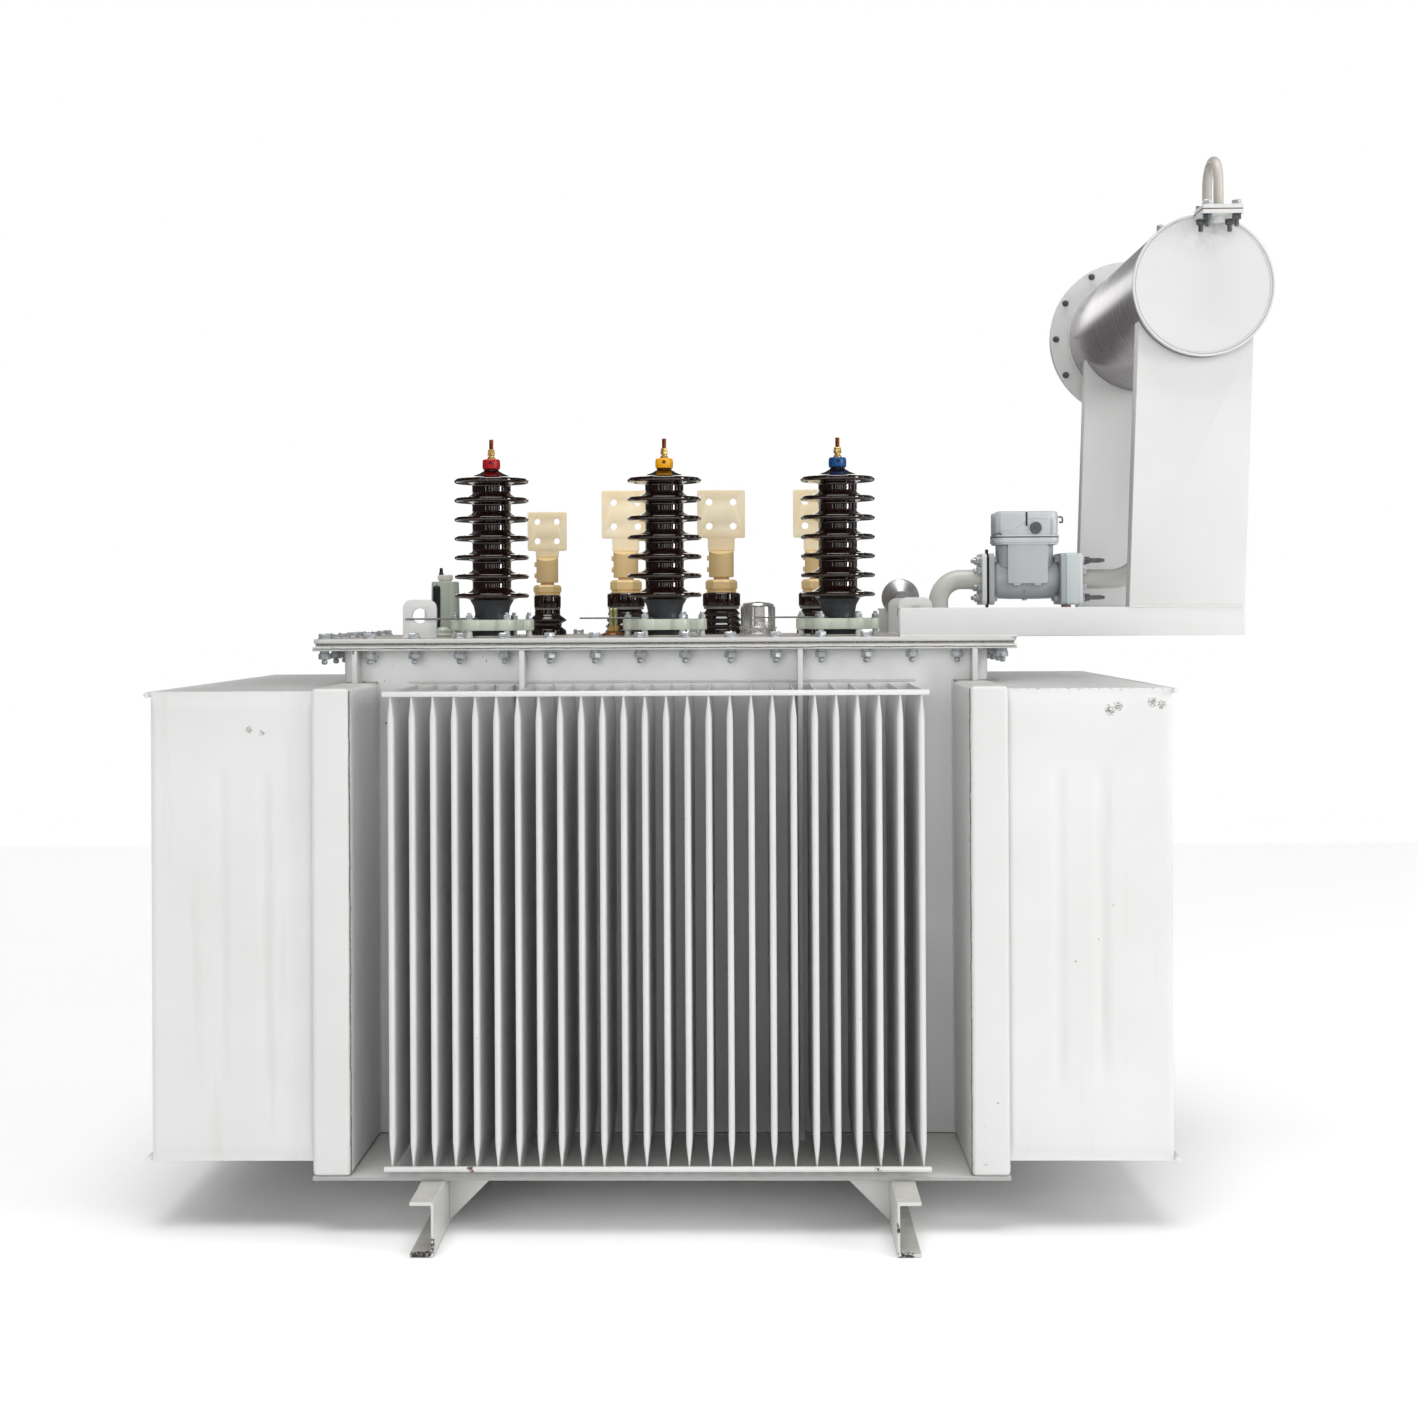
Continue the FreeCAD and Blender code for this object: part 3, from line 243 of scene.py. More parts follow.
def edged(nodes, radius, segments=2, crease=30):
    """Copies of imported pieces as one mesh, welded and flat-faced again, with rounded edges."""
    shape = bmesh.new()
    for node in nodes:
        shape.from_mesh(frame["nodes"][node].data)
    bmesh.ops.remove_doubles(shape, verts=shape.verts, dist=1e-5)
    bmesh.ops.dissolve_limit(shape, angle_limit=math.radians(1), verts=shape.verts, edges=shape.edges)
    sharp = [
        edge for edge in shape.edges if edge.is_manifold and edge.calc_face_angle() > math.radians(crease)
    ]
    bmesh.ops.bevel(
        shape, geom=sharp, offset=radius, segments=segments, profile=0.5, affect="EDGES", clamp_overlap=True
    )
    mesh = bpy.data.meshes.new("edged")
    shape.to_mesh(mesh)
    shape.free()
    return mesh


# The common coat, a satin light grey; the cover lies flat and holds more dust, so it looks browner.
white_enamel = enamel("light_grey_enamel", "#D3D4D3", dust=0.55)
dusty_enamel = enamel("dusty_grey_enamel", "#CECFCD", dust=0.95, wear=0.5)

# The walls get a lighter enamel than the common coat: painted light, brightening the walls where they lie in
# shade under the flange and behind the fins.
wall_painted_light_enamel = enamel("tank_wall_painted_light_enamel", "#EAEBEA", dust=0.55)
settle("tank_walls", edged(["tank_body"], 0.003), wall_painted_light_enamel, "paint", "tank_body")

# The floor plate's faces that point along Y, its front and rear edges, are overlaid a darker grey.
floor_enamel = enamel("floor_plate_enamel", "#D3D4D3", dust=0.2)
tree = floor_enamel.node_tree
facing = add(tree, "ShaderNodeSeparateXYZ", {0: add(tree, "ShaderNodeNewGeometry").outputs["Normal"]})
edge_on = add(tree, "ShaderNodeMath", {0: facing.outputs[1]}, operation="ABSOLUTE")
overlay(floor_enamel, edge_on.outputs[0], "#9FA19E")
settle("tank_floor", edged(["bottom_plate"], 0.0007), floor_enamel, "paint", "bottom_plate")
for side in ("left", "right"):
    header = edged([side + "_header"], 0.011, segments=5)
    settle(side + "_box_header", header, white_enamel, "paint", side + "_header")
settle("stiffener_ribs", edged(["wall_stiffeners"], 0.0012), white_enamel, "paint", "wall_stiffeners")
settle("flange_ring", edged(["tank_flange"], 0.0015), white_enamel, "paint", "tank_flange")
settle("cover_sheet", edged(["cover_plate"], 0.002), dusty_enamel, "paint", "cover_plate")

# ---------------------------------------------------------------- fins
# Folded and seam-welded sheet fins, hollow for the oil: pressed shut along the top and bottom,
# swelling to full thickness between, with a rounded fold at the free edge.


def tree_with(name, sockets):
    """An empty Geometry Nodes tree with named inputs, its input node and its output node."""
    tree = bpy.data.node_groups.new(name, "GeometryNodeTree")
    tree.interface.new_socket("Geometry", in_out="INPUT", socket_type="NodeSocketGeometry")
    for label, kind in sockets:
        tree.interface.new_socket(label, in_out="INPUT", socket_type="NodeSocket" + kind)
    tree.interface.new_socket("Geometry", in_out="OUTPUT", socket_type="NodeSocketGeometry")
    return tree, add(tree, "NodeGroupInput").outputs


def close_tree(tree, copies, finish):
    """End a tree as the export needs: copies made real, with their finish set."""
    real = add(tree, "GeometryNodeRealizeInstances", {0: copies})
    painted = add(tree, "GeometryNodeSetMaterial", {"Geometry": real.outputs[0], "Material": finish})
    add(tree, "NodeGroupOutput", {0: painted.outputs[0]})


def plain(holder):
    """A holder's finished shape as a plain mesh; the holder goes."""
    graph = bpy.context.evaluated_depsgraph_get()
    mesh = bpy.data.meshes.new_from_object(holder.evaluated_get(graph), depsgraph=graph)
    bpy.data.objects.remove(holder)
    return mesh


def grow(tree, sizes, start=None):
    """Run a tree once on a start mesh and keep the result as a plain mesh."""
    holder = stand("holder", start or bpy.data.meshes.new("empty"))
    modifier = holder.modifiers.new("grow", "NODES")
    modifier.node_group = tree
    for socket in tree.interface.items_tree:
        if socket.in_out == "INPUT" and socket.name in sizes:
            modifier[socket.identifier] = sizes[socket.name]
    return plain(holder)


row_tree, row_in = tree_with(
    "row",
    [("Part", "Object"), ("Count", "Int"), ("Start", "Vector"), ("Step", "Vector"), ("Finish", "Material")]
)
row_line = add(
    row_tree,
    "GeometryNodeMeshLine",
    {"Count": row_in["Count"], "Start Location": row_in["Start"], "Offset": row_in["Step"]},
)
row_part = add(row_tree, "GeometryNodeObjectInfo", {"Object": row_in["Part"]})
row_copies = add(
    row_tree, "GeometryNodeInstanceOnPoints",
    {"Points": row_line.outputs[0], "Instance": row_part.outputs["Geometry"]}
)
close_tree(row_tree, row_copies.outputs[0], row_in["Finish"])

FIN_THICK = 0.0135
FIN_SHEET = 0.0028
FIN_SHUT = 0.004
FIN_TAPER = 0.062
FIN_PITCH = 0.045


def swell(height, full):
    """How far open a fin is at a height: 0 where it is pressed shut, 1 between."""
    near = min(1.0, max(0.0, min(height, full - height) - FIN_SHUT) / FIN_TAPER)
    return near * near * (3 - 2 * near)


def fin_mesh(reach, height, across=1, along=12):
    """One fin: reach runs along X from 0, thickness along Y, height along Z from 0."""
    shape = bmesh.new()
    ends = [0, 0.004, 0.012, 0.022, 0.034, 0.046, 0.058, 0.066]
    levels = ends + [height * i / along for i in range(1, along)] + [height - e for e in reversed(ends)]
    loops = []
    for level in levels:
        half = FIN_SHEET / 2 + (FIN_THICK - FIN_SHEET) / 2 * swell(level, height)
        side = [(reach * i / across * 0.985, half) for i in range(across + 1)]
        fold = [
            (reach - half + half * math.sin(turn), half * math.cos(turn))
            for turn in (math.radians(22.5 * i) for i in range(1, 8))
        ]
        side[-1] = (reach - half, half)
        outline = side + fold + [(x, -y) for x, y in reversed(side)]
        loops.append([shape.verts.new((x, y, level)) for x, y in outline])
    count = len(loops[0])
    for low, high in zip(loops, loops[1:]):
        for i in range(count):
            j = (i + 1) % count
            shape.faces.new((low[j], low[i], high[i], high[j]))
    shape.faces.new(loops[0])
    shape.faces.new(list(reversed(loops[-1])))
    mesh = bpy.data.meshes.new("fin")
    bmesh.ops.recalc_face_normals(shape, faces=shape.faces)
    shape.to_mesh(mesh)
    shape.free()
    return mesh


def fin_row(mesh, count, start, step, material):
    """A row of like fins, grown and joined to one mesh."""
    part = stand("part", mesh)
    grown = grow(row_tree, {"Part": part, "Count": count, "Start": start, "Step": step, "Finish": material})
    bpy.data.objects.remove(part)
    return grown


front_low, front_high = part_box("front_fins")
rear_low, rear_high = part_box("rear_fins")
FRONT_COUNT = round((front_high.x - front_low.x) / FIN_PITCH) + 1
first_x = (front_low.x + front_high.x - (FRONT_COUNT - 1) * FIN_PITCH) / 2
for side, low, high, turn, wall in (
    ("front", front_low, front_high, -90, front_high.y),
    ("rear", rear_low, rear_high, 90, rear_low.y),
):
    mesh = fin_mesh(high.y - low.y, high.z - low.z)
    mesh.transform(Matrix.Rotation(math.radians(turn), 4, "Z"))
    row = fin_row(mesh, FRONT_COUNT, (first_x, wall, low.z), (FIN_PITCH, 0, 0), white_enamel)
    settle(side + "_fin_row", row, None, "paint", side + "_fins")


PILLOW_SIDE, PILLOW_STRIP, PILLOW_SLOPE = 0.016, 0.017, 0.008
CHANNELS, CHANNEL_HALF, CHANNEL_DEPTH = (0.305, 0.57), 0.021, 0.75
CHANNEL_FOOT, CHANNEL_HEAD, CHANNEL_FADE = 0.15, 0.16, 0.03


def pressed_panel(reach, height):
    """The outermost fin of an end pack, whose broad side shows: pillowed, with two pressed channels."""
    shape = bmesh.new()
    columns, rows = 56, 96
    grids = []
    for face in (1, -1):
        grid = []
        for row in range(rows + 1):
            level = height * row / rows
            line = []
            for column in range(columns + 1):
                out = reach * column / columns
                edge_x = min(1, min(out, reach - out) / PILLOW_SIDE)
                edge_z = min(1, max(0, min(level, height - level) - PILLOW_STRIP) / PILLOW_SLOPE)
                open_by = (edge_x * (2 - edge_x)) ** 0.5 * edge_z * edge_z * (3 - 2 * edge_z)
                inside = min(level - CHANNEL_FOOT, height - CHANNEL_HEAD - level)
                for middle in CHANNELS:
                    away = (out - reach * middle) / CHANNEL_HALF
                    end = max(0, min(1, inside / CHANNEL_FADE))
                    open_by -= CHANNEL_DEPTH * max(0, 1 - away * away) ** 2 * end
                half = FIN_SHEET / 2 + (FIN_THICK - FIN_SHEET) / 2 * max(0, open_by)
                line.append(shape.verts.new((out, face * half, level)))
            grid.append(line)
        grids.append(grid)
        for row in range(rows):
            for column in range(columns):
                corners = [
                    grid[row][column], grid[row][column + 1], grid[row + 1][column + 1], grid[row + 1][column]
                ]
                shape.faces.new(corners if face < 0 else corners[::-1])
    front, back = grids
    rim = [(0, c) for c in range(columns)] + [(r, columns) for r in range(rows)]
    rim += [(rows, c) for c in range(columns, 0, -1)] + [(r, 0) for r in range(rows, 0, -1)]
    for (r0, c0), (r1, c1) in zip(rim, rim[1:] + rim[:1]):
        shape.faces.new((front[r0][c0], front[r1][c1], back[r1][c1], back[r0][c0]))
    bmesh.ops.recalc_face_normals(shape, faces=shape.faces)
    mesh = bpy.data.meshes.new("panel")
    shape.to_mesh(mesh)
    shape.free()
    return mesh


def merged(meshes):
    """Several meshes as one, each keeping its finish."""
    shape = bmesh.new()
    result = bpy.data.meshes.new("merged")
    for mesh in meshes:
        first_face = len(shape.faces)
        shape.from_mesh(mesh)
        shape.faces.ensure_lookup_table()
        if not mesh.materials:
            continue
        slots = []
        for material in mesh.materials:
            if material not in result.materials[:]:
                result.materials.append(material)
            slots.append(result.materials[:].index(material))
        for face in shape.faces[first_face:]:
            face.material_index = slots[min(face.material_index, len(slots) - 1)]
    shape.to_mesh(result)
    shape.free()
    return result


def where(material):
    """The surface coordinates that a finished material already reads."""
    return next(node for node in material.node_tree.nodes if node.type == "TEX_COORD").outputs["Object"]


def mark(material, spots, colour, scale=40.0, torn=False):
    """Add local stains to an enamel: (x, y, z, radius, strength), broken up by noise, torn for chips."""
    tree, place = material.node_tree, where(material)
    grit = add(
        tree, "ShaderNodeTexNoise", {"Vector": place, "Scale": scale, "Detail": 6.0, "Roughness": 0.65}
    )
    patchy = add(tree, "ShaderNodeMapRange", {0: grit.outputs[0], 1: 0.35, 2: 0.65})
    for x, y, z, radius, strength in spots:
        off = add(tree, "ShaderNodeVectorMath", {0: place, 1: (x, y, z)}, operation="DISTANCE").outputs[
            "Value"
        ]
        near = add(tree, "ShaderNodeMapRange", {0: off, 1: radius, 2: radius * 0.1, 3: 0.0, 4: strength})
        amount = add(tree, "ShaderNodeMath", {0: near.outputs[0], 1: patchy.outputs[0]}, operation="MULTIPLY")
        if torn:
            amount = add(tree, "ShaderNodeMapRange", {0: amount.outputs[0], 1: 0.30, 2: 0.36})
        overlay(material, amount.outputs[0], colour)


# The end packs stand in the rain: thick dust above, faint runs below, scuffs near the top corners
# and a broken line of dirt along the right pack's top edge.
pack_enamel = enamel("end_pack_enamel", "#D6D7D6", dust=0.9, wear=0.2, run=0.12)
pack_y, pack_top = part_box("right_fins")[0].y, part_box("right_fins")[1].z
scuffs = (
    (0.795, 0.047, 0.022, 0.9), (0.812, 0.038, 0.018, 0.9), (0.885, 0.030, 0.018, 1.0),
    (0.905, 0.036, 0.018, 0.9), (-1.035, 0.082, 0.018, 0.7), (-1.008, 0.088, 0.014, 0.8),
)
scuffed = [(x, pack_y, pack_top - drop, radius, strength) for x, drop, radius, strength in scuffs]
mark(pack_enamel, scuffed, "#8A857E", 330.0, torn=True)
dirt = [(0.60 + 0.022 * number, pack_y, pack_top, 0.015, 0.75) for number in range(15)]
mark(pack_enamel, dirt, "#A0978C", 300.0, torn=True)
for side, turn in (("left", 180), ("right", 0)):
    low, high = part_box(side + "_fins")
    reach = high.x - low.x
    wall = high.x if side == "left" else low.x
    count = round((high.y - low.y) / FIN_PITCH) + 1
    first_y = -(count - 1) * FIN_PITCH / 2
    spin = Matrix.Rotation(math.radians(turn), 4, "Z")
    inner = fin_mesh(reach, high.z - low.z)
    inner.transform(spin)
    rows = [fin_row(inner, count - 2, (wall, first_y + FIN_PITCH, low.z), (0, FIN_PITCH, 0), pack_enamel)]
    for y in (first_y, -first_y):
        panel = pressed_panel(reach, high.z - low.z)
        panel.transform(Matrix.Translation((wall, y, low.z)) @ spin)
        rows.append(panel)
    settle(side + "_fin_pack", merged(rows), pack_enamel, "paint", side + "_fins")

# ---------------------------------------------------------------- fin bars
# Round steel bars welded across the fin corners, top and bottom, to hold them in line.


def rounded(corners, closed=False, steps=4):
    """A line's points with an arc at each corner; the last number of a corner is its rounding."""
    count = len(corners)
    points = []
    for number, corner in enumerate(corners):
        here = Vector(corner[:-1])
        if corner[-1] == 0 or (not closed and number in (0, count - 1)):
            points.append(here)
            continue
        back = Vector(corners[number - 1][:-1]) - here
        onward = Vector(corners[(number + 1) % count][:-1]) - here
        half = back.angle(onward) / 2
        reach = min(corner[-1] / math.tan(half), 0.49 * back.length, 0.49 * onward.length)
        centre = here + (back.normalized() + onward.normalized()).normalized() * (reach / math.cos(half))
        start = here + back.normalized() * reach - centre
        end = here + onward.normalized() * reach - centre
        sweep = start.angle(end)
        for step in range(steps + 1):
            part = sweep * step / steps
            points.append(centre + (start * math.sin(sweep - part) + end * math.sin(part)) / math.sin(sweep))
    return points


def turned(corners, sides=40, steps=3):
    """A closed round body from its half outline, given as (radius, height, rounding) corners."""
    shape = bmesh.new()
    rings = []
    for radius, height in rounded(corners, steps=steps):
        ring = 1 if radius < 1e-6 else sides
        turns = [2 * math.pi * i / sides for i in range(ring)]
        rings.append([shape.verts.new((radius * math.cos(t), radius * math.sin(t), height)) for t in turns])
    for low, high in zip(rings, rings[1:]):
        for i in range(sides):
            j = (i + 1) % sides
            around = (low[i % len(low)], low[j % len(low)], high[j % len(high)], high[i % len(high)])
            face = list(dict.fromkeys(around))
            if len(face) > 2:
                shape.faces.new(face)
    mesh = bpy.data.meshes.new("turned")
    shape.to_mesh(mesh)
    shape.free()
    return mesh


AXIS_TURN = {
    "X": Matrix.Rotation(math.pi / 2, 4, "Y"),
    "Y": Matrix.Rotation(-math.pi / 2, 4, "X"),
    "-Y": Matrix.Rotation(math.pi / 2, 4, "X"),
    "-X": Matrix.Rotation(-math.pi / 2, 4, "Y"),
    "Z": Matrix.Identity(4),
}


def put(mesh, place, along="Z"):
    """Turn a mesh's own Z to an axis and move it to its place."""
    mesh.transform(Matrix.Translation(place) @ AXIS_TURN[along])
    return mesh


def rod(radius, length, edge, sides=16):
    """A round bar along Z with its end corners taken off."""
    return turned([(0, 0, 0), (radius, 0, edge), (radius, length, edge), (0, length, 0)], sides, 2)


bar_low, bar_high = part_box("fin_bars")
BAR, BAR_EDGE = 0.006, 0.0015
BAR_BEYOND = 0.016
bars = []
for z in (front_low.z + BAR, bar_high.z - BAR):
    for y in (bar_low.y + BAR, bar_high.y - BAR):
        bar = rod(BAR, (FRONT_COUNT - 1) * FIN_PITCH + 2 * BAR_BEYOND, BAR_EDGE)
        bars.append(put(bar, (first_x - BAR_BEYOND, y, z), "X"))
for side, x in (("left", bar_low.x + BAR), ("right", bar_high.x - BAR)):
    low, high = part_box(side + "_fins")
    span = high.y - low.y + 0.018
    for z in (low.z + BAR, bar_high.z - BAR):
        bars.append(put(rod(BAR, span, BAR_EDGE), (x, -span / 2, z), "Y"))

# The same coat on bar, rusting through in two spots on the front bottom one.
bar_enamel = enamel("bar_enamel", "#D6D7D6", dust=0.3)
rusty = [
    (x, bar_low.y, bar_low.z + BAR, radius, worst) for x, radius,
    worst in ((-0.562, 0.016, 1.0), (0.30, 0.02, 0.7))
]
mark(bar_enamel, rusty, "#5F3F2C", 150.0, torn=True)
settle("fin_tie_bars", merged(bars), bar_enamel, "paint", "fin_bars")

# ---------------------------------------------------------------- skids
# Two rolled channels that the transformer is dragged on, webs inward, with welded gussets.
# The same enamel, knocked off to rust and black scale at the ends.

skid_enamel = enamel("skid_enamel", "#CACBC8", dust=0.6, wear=0.9, chip="#4B3A30")
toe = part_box("left_skid")[0].y
knocks = (
    (-0.619, 0.026, 0.026, 1.3), (-0.640, 0.004, 0.030, 1.3), (-0.655, 0.003, 0.024, 1.3),
    (0.333, 0.060, 0.018, 1.2), (0.345, 0.004, 0.026, 1.2),
)
knocked = [(x, toe, z, radius, strength) for x, z, radius, strength in knocks]
mark(skid_enamel, knocked, "#2E221C", 170.0, torn=True)
for side in ("left", "right"):
    settle(side + "_skid_channel", edged([side + "_skid"], 0.003, 3), skid_enamel, "paint", side + "_skid")
settle("skid_gusset_plates", edged(["skid_gussets"], 0.001), skid_enamel, "paint", "skid_gussets")

# ---------------------------------------------------------------- cover bolts and gasket
# A cork and rubber gasket squeezed between flange and cover, held by zinc-plated M16 bolts with
# washers on top and nuts below. Zinc gives the dull silver with a little blue and old grime.


def zinc_plate(name, colour, roughness=0.36, old="#9A9A98"):
    """Bright zinc plating gone dull: patchy tone and roughness, fine pits."""
    material, tree, place = blank(name)
    # Patches of about 14 mm; the pits, a tenth of a millimetre in truth, are drawn at 1 mm to show.
    patch = add(tree, "ShaderNodeTexNoise", {"Vector": place, "Scale": 70.0, "Detail": 5.0})
    part = add(tree, "ShaderNodeMapRange", {0: patch.outputs[0], 1: 0.4, 2: 0.75, 3: 0.0, 4: 0.75})
    tone = add(
        tree, "ShaderNodeMix", {0: part.outputs[0], 6: linear(colour), 7: linear(old)}, data_type="RGBA"
    )
    rough = add(tree, "ShaderNodeMapRange", {0: patch.outputs[0], 1: 0.3, 2: 0.8, 3: roughness, 4: 0.65})
    pits = add(tree, "ShaderNodeTexNoise", {"Vector": place, "Scale": 900.0, "Detail": 2.0})
    skin = add(tree, "ShaderNodeBump", {"Height": pits.outputs[0], "Strength": 0.12, "Distance": 0.0004})
    look = {"Base Color": tone.outputs[2], "Metallic": 0.6, "Roughness": rough.outputs[0]}
    metal = add(tree, "ShaderNodeBsdfPrincipled", {**look, "Normal": skin.outputs[0]})
    add(tree, "ShaderNodeOutputMaterial", {"Surface": metal.outputs[0]})
    return material


def hexagon(across_flats, height, base=0.0):
    """A hexagon nut or head with its corners chamfered at both ends."""
    radius, edge = across_flats / math.sqrt(3), 0.08 * across_flats
    corners = [(0, base, 0), (radius, base, edge), (radius, base + height, edge), (0, base + height, 0)]
    return turned(corners, 6, 1)


def washer(radius, height, base=0.0):
    """A plain washer, as a low disc."""
    corners = [(0, base, 0), (radius, base, 0.0005), (radius, base + height, 0.0005), (0, base + height, 0)]
    return turned(corners, 20, 1)


def shank(radius, low, high, tip=0.001):
    """A length of bolt or stud with a chamfered tip."""
    return turned([(0, low, 0), (radius, low, tip), (radius, high, tip), (0, high, 0)], 12, 1)


spot_tree, spot_in = tree_with(
    "parts_on_spots", [("Part", "Object"), ("Loosest turn", "Float"), ("Seed", "Int"), ("Finish", "Material")]
)
spot_way = add(spot_tree, "GeometryNodeInputNamedAttribute", {"Name": "facing"}, data_type="FLOAT_VECTOR")
spot_turn = add(spot_tree, "FunctionNodeRandomValue", {3: spot_in["Loosest turn"], "Seed": spot_in["Seed"]})
spot_aim = add(spot_tree, "FunctionNodeAlignRotationToVector", {"Vector": spot_way.outputs[0]}, axis="Z")
spot_spin = add(
    spot_tree, "FunctionNodeAxisAngleToRotation", {"Axis": (0, 0, 1), "Angle": spot_turn.outputs[1]}
)
spot_pose = add(
    spot_tree, "FunctionNodeRotateRotation", {0: spot_aim.outputs[0], 1: spot_spin.outputs[0]},
    rotation_space="LOCAL"
)
spot_part = add(spot_tree, "GeometryNodeObjectInfo", {"Object": spot_in["Part"]})
spot_copies = add(
    spot_tree,
    "GeometryNodeInstanceOnPoints",
    {
        "Points": spot_in["Geometry"], "Instance": spot_part.outputs["Geometry"],
        "Rotation": spot_pose.outputs[0]
    },
)
close_tree(spot_tree, spot_copies.outputs[0], spot_in["Finish"])


def fasten(part, spots, material, seed=1, loosest=60):
    """A copy of one part on each (place, facing) spot, grown and joined to one mesh."""
    start = bpy.data.meshes.new("spots")
    start.from_pydata([place for place, facing in spots], [], [])
    way = start.attributes.new("facing", "FLOAT_VECTOR", "POINT")
    for number, (place, facing) in enumerate(spots):
        way.data[number].vector = facing
    holder = stand("part", part)
    sizes = {"Part": holder, "Loosest turn": math.radians(loosest), "Seed": seed, "Finish": material}
    grown = grow(spot_tree, sizes, start)
    bpy.data.objects.remove(holder)
    return grown


def level(places, z, way=1):
    """Spots to fasten on, at (x, y) places on a level face: facing up, or down with way -1."""
    return [((x, y, z), (0, 0, way)) for x, y in places]


# Zinc plate has gone from bright to a soft grey; the bare ends of studs are near black with oil.
zinc = zinc_plate("zinc_plated_steel", "#D3D7DA", 0.27, "#8C9093")
dark_zinc = zinc_plate("dark_steel_studs", "#6E7174", 0.42, "#4A4B4C")

cover_low, cover_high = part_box("cover_plate")
cover_z = cover_high.z
flange_low, flange_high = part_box("tank_flange")
INSET, BOLT_PITCH, ROW_SHIFT = 0.028, 0.1028, -0.0040
LONG_ROW, END_ROW = 16, 7
row_x = (cover_low.x + cover_high.x) / 2 + ROW_SHIFT
near_y, far_y = cover_low.y + INSET, cover_high.y - INSET
bolt_places = []
for number in range(LONG_ROW):
    x = row_x + (number - (LONG_ROW - 1) / 2) * BOLT_PITCH
    bolt_places += [(x, near_y), (x, far_y)]
for number in range(1, END_ROW + 1):
    y = near_y + number * (far_y - near_y) / (END_ROW + 1)
    bolt_places += [(cover_low.x + INSET, y), (cover_high.x - INSET, y)]

bolt_top = merged([washer(0.0150, 0.0028), hexagon(0.024, 0.0100, 0.0028)])
bolt_end = merged(
    [washer(0.0105, 0.0055), hexagon(0.024, 0.0140, 0.0055), shank(0.0068, 0.0195, 0.0310, 0.003)]
)
heads = fasten(bolt_top, level(bolt_places, cover_z), zinc, 3)
nuts = fasten(bolt_end, level(bolt_places, flange_low.z, -1), zinc, 4)
settle("cover_bolts", merged([heads, nuts]), zinc, "bare_steel")

# Cork crumbs of about 4 mm in dark rubber; spray has caught the lower edge in a ragged line.
cork = bpy.data.materials.new("cork_rubber")
cork.use_nodes = True
tree = cork.node_tree
place = add(tree, "ShaderNodeTexCoord").outputs["Object"]
grain = add(tree, "ShaderNodeTexVoronoi", {"Vector": place, "Scale": 260.0})
grains = add(tree, "ShaderNodeMapRange", {0: grain.outputs[0], 1: 0.0, 2: 0.7})
crumbs = add(
    tree, "ShaderNodeMix", {0: grains.outputs[0], 6: linear("#3A322B"), 7: linear("#8D8880")},
    data_type="RGBA"
)
height = add(tree, "ShaderNodeSeparateXYZ", {0: place}).outputs[2]
ragged = add(tree, "ShaderNodeTexNoise", {"Vector": place, "Scale": 55.0, "Detail": 3.0})
line = add(tree, "ShaderNodeMath", {0: ragged.outputs[0], 1: 0.002, 2: height}, operation="MULTIPLY_ADD")
spray_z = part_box("cover_gasket")[0].z + 0.0030
bare = add(tree, "ShaderNodeMapRange", {0: line.outputs[0], 1: spray_z, 2: spray_z + 0.0004})
sprayed = add(
    tree, "ShaderNodeMix", {0: bare.outputs[0], 6: linear("#C9CAC7"), 7: crumbs.outputs[2]},
    data_type="RGBA"
)
rubber = tree.nodes["Principled BSDF"]
rubber.inputs["Roughness"].default_value = 0.85
tree.links.new(sprayed.outputs[2], rubber.inputs["Base Color"])
settle("cover_joint", edged(["cover_gasket"], 0.0008), cork, "gasket", "cover_gasket")

# ---------------------------------------------------------------- high-voltage bushings
# Turned and glazed porcelain: a core with seven sheds and a conical head, brown glaze fired to a
# deep wet gloss, standing in a matt black cast foot.


def glossy(name, colour, second, roughness=0.06, coat=0.0, scale=24.0, metallic=0.0, bump=0.03, ior=1.5):
    """A smooth hard finish: two close tones in clouds of 1 / scale metres, uneven gloss, a faint ripple."""
    material, tree, place = blank(name)
    cloud = add(tree, "ShaderNodeTexNoise", {"Vector": place, "Scale": scale, "Detail": 5.0})
    part = add(tree, "ShaderNodeMapRange", {0: cloud.outputs[0], 1: 0.35, 2: 0.7})
    tone = add(
        tree, "ShaderNodeMix", {0: part.outputs[0], 6: linear(colour), 7: linear(second)}, data_type="RGBA"
    )
    fine = add(tree, "ShaderNodeTexNoise", {"Vector": place, "Scale": scale * 5, "Detail": 3.0})
    rough = add(
        tree, "ShaderNodeMapRange", {0: fine.outputs[0], 1: 0.3, 2: 0.75, 3: roughness, 4: roughness * 1.7}
    )
    skin = add(tree, "ShaderNodeBump", {"Height": fine.outputs[0], "Strength": bump, "Distance": 0.001})
    look = {"Base Color": tone.outputs[2], "Roughness": rough.outputs[0], "Normal": skin.outputs[0]}
    body = {"Metallic": metallic, "Coat Weight": coat, "Coat IOR": 1.6, "IOR": ior}
    shader = add(tree, "ShaderNodeBsdfPrincipled", {**look, **body})
    add(tree, "ShaderNodeOutputMaterial", {"Surface": shader.outputs[0]})
    return material


# The glaze is near black with red-brown where it runs thin, under a wet-looking coat; the foot's
# stove black is matt and a little blue.
brown_glaze = glossy("brown_porcelain_glaze", "#150705", "#241009", 0.045, coat=0.6, ior=1.6, bump=0.012)
matt_black = glossy("matt_black_casting", "#303236", "#393B40", 0.36, bump=0.08, scale=60)

SHED_PITCH = 0.0454
SHED_COUNT = 7
FIRST_SHED = 0.0985
CORE = 0.0455
SHED = 0.0878
CAP_Z = 0.3994


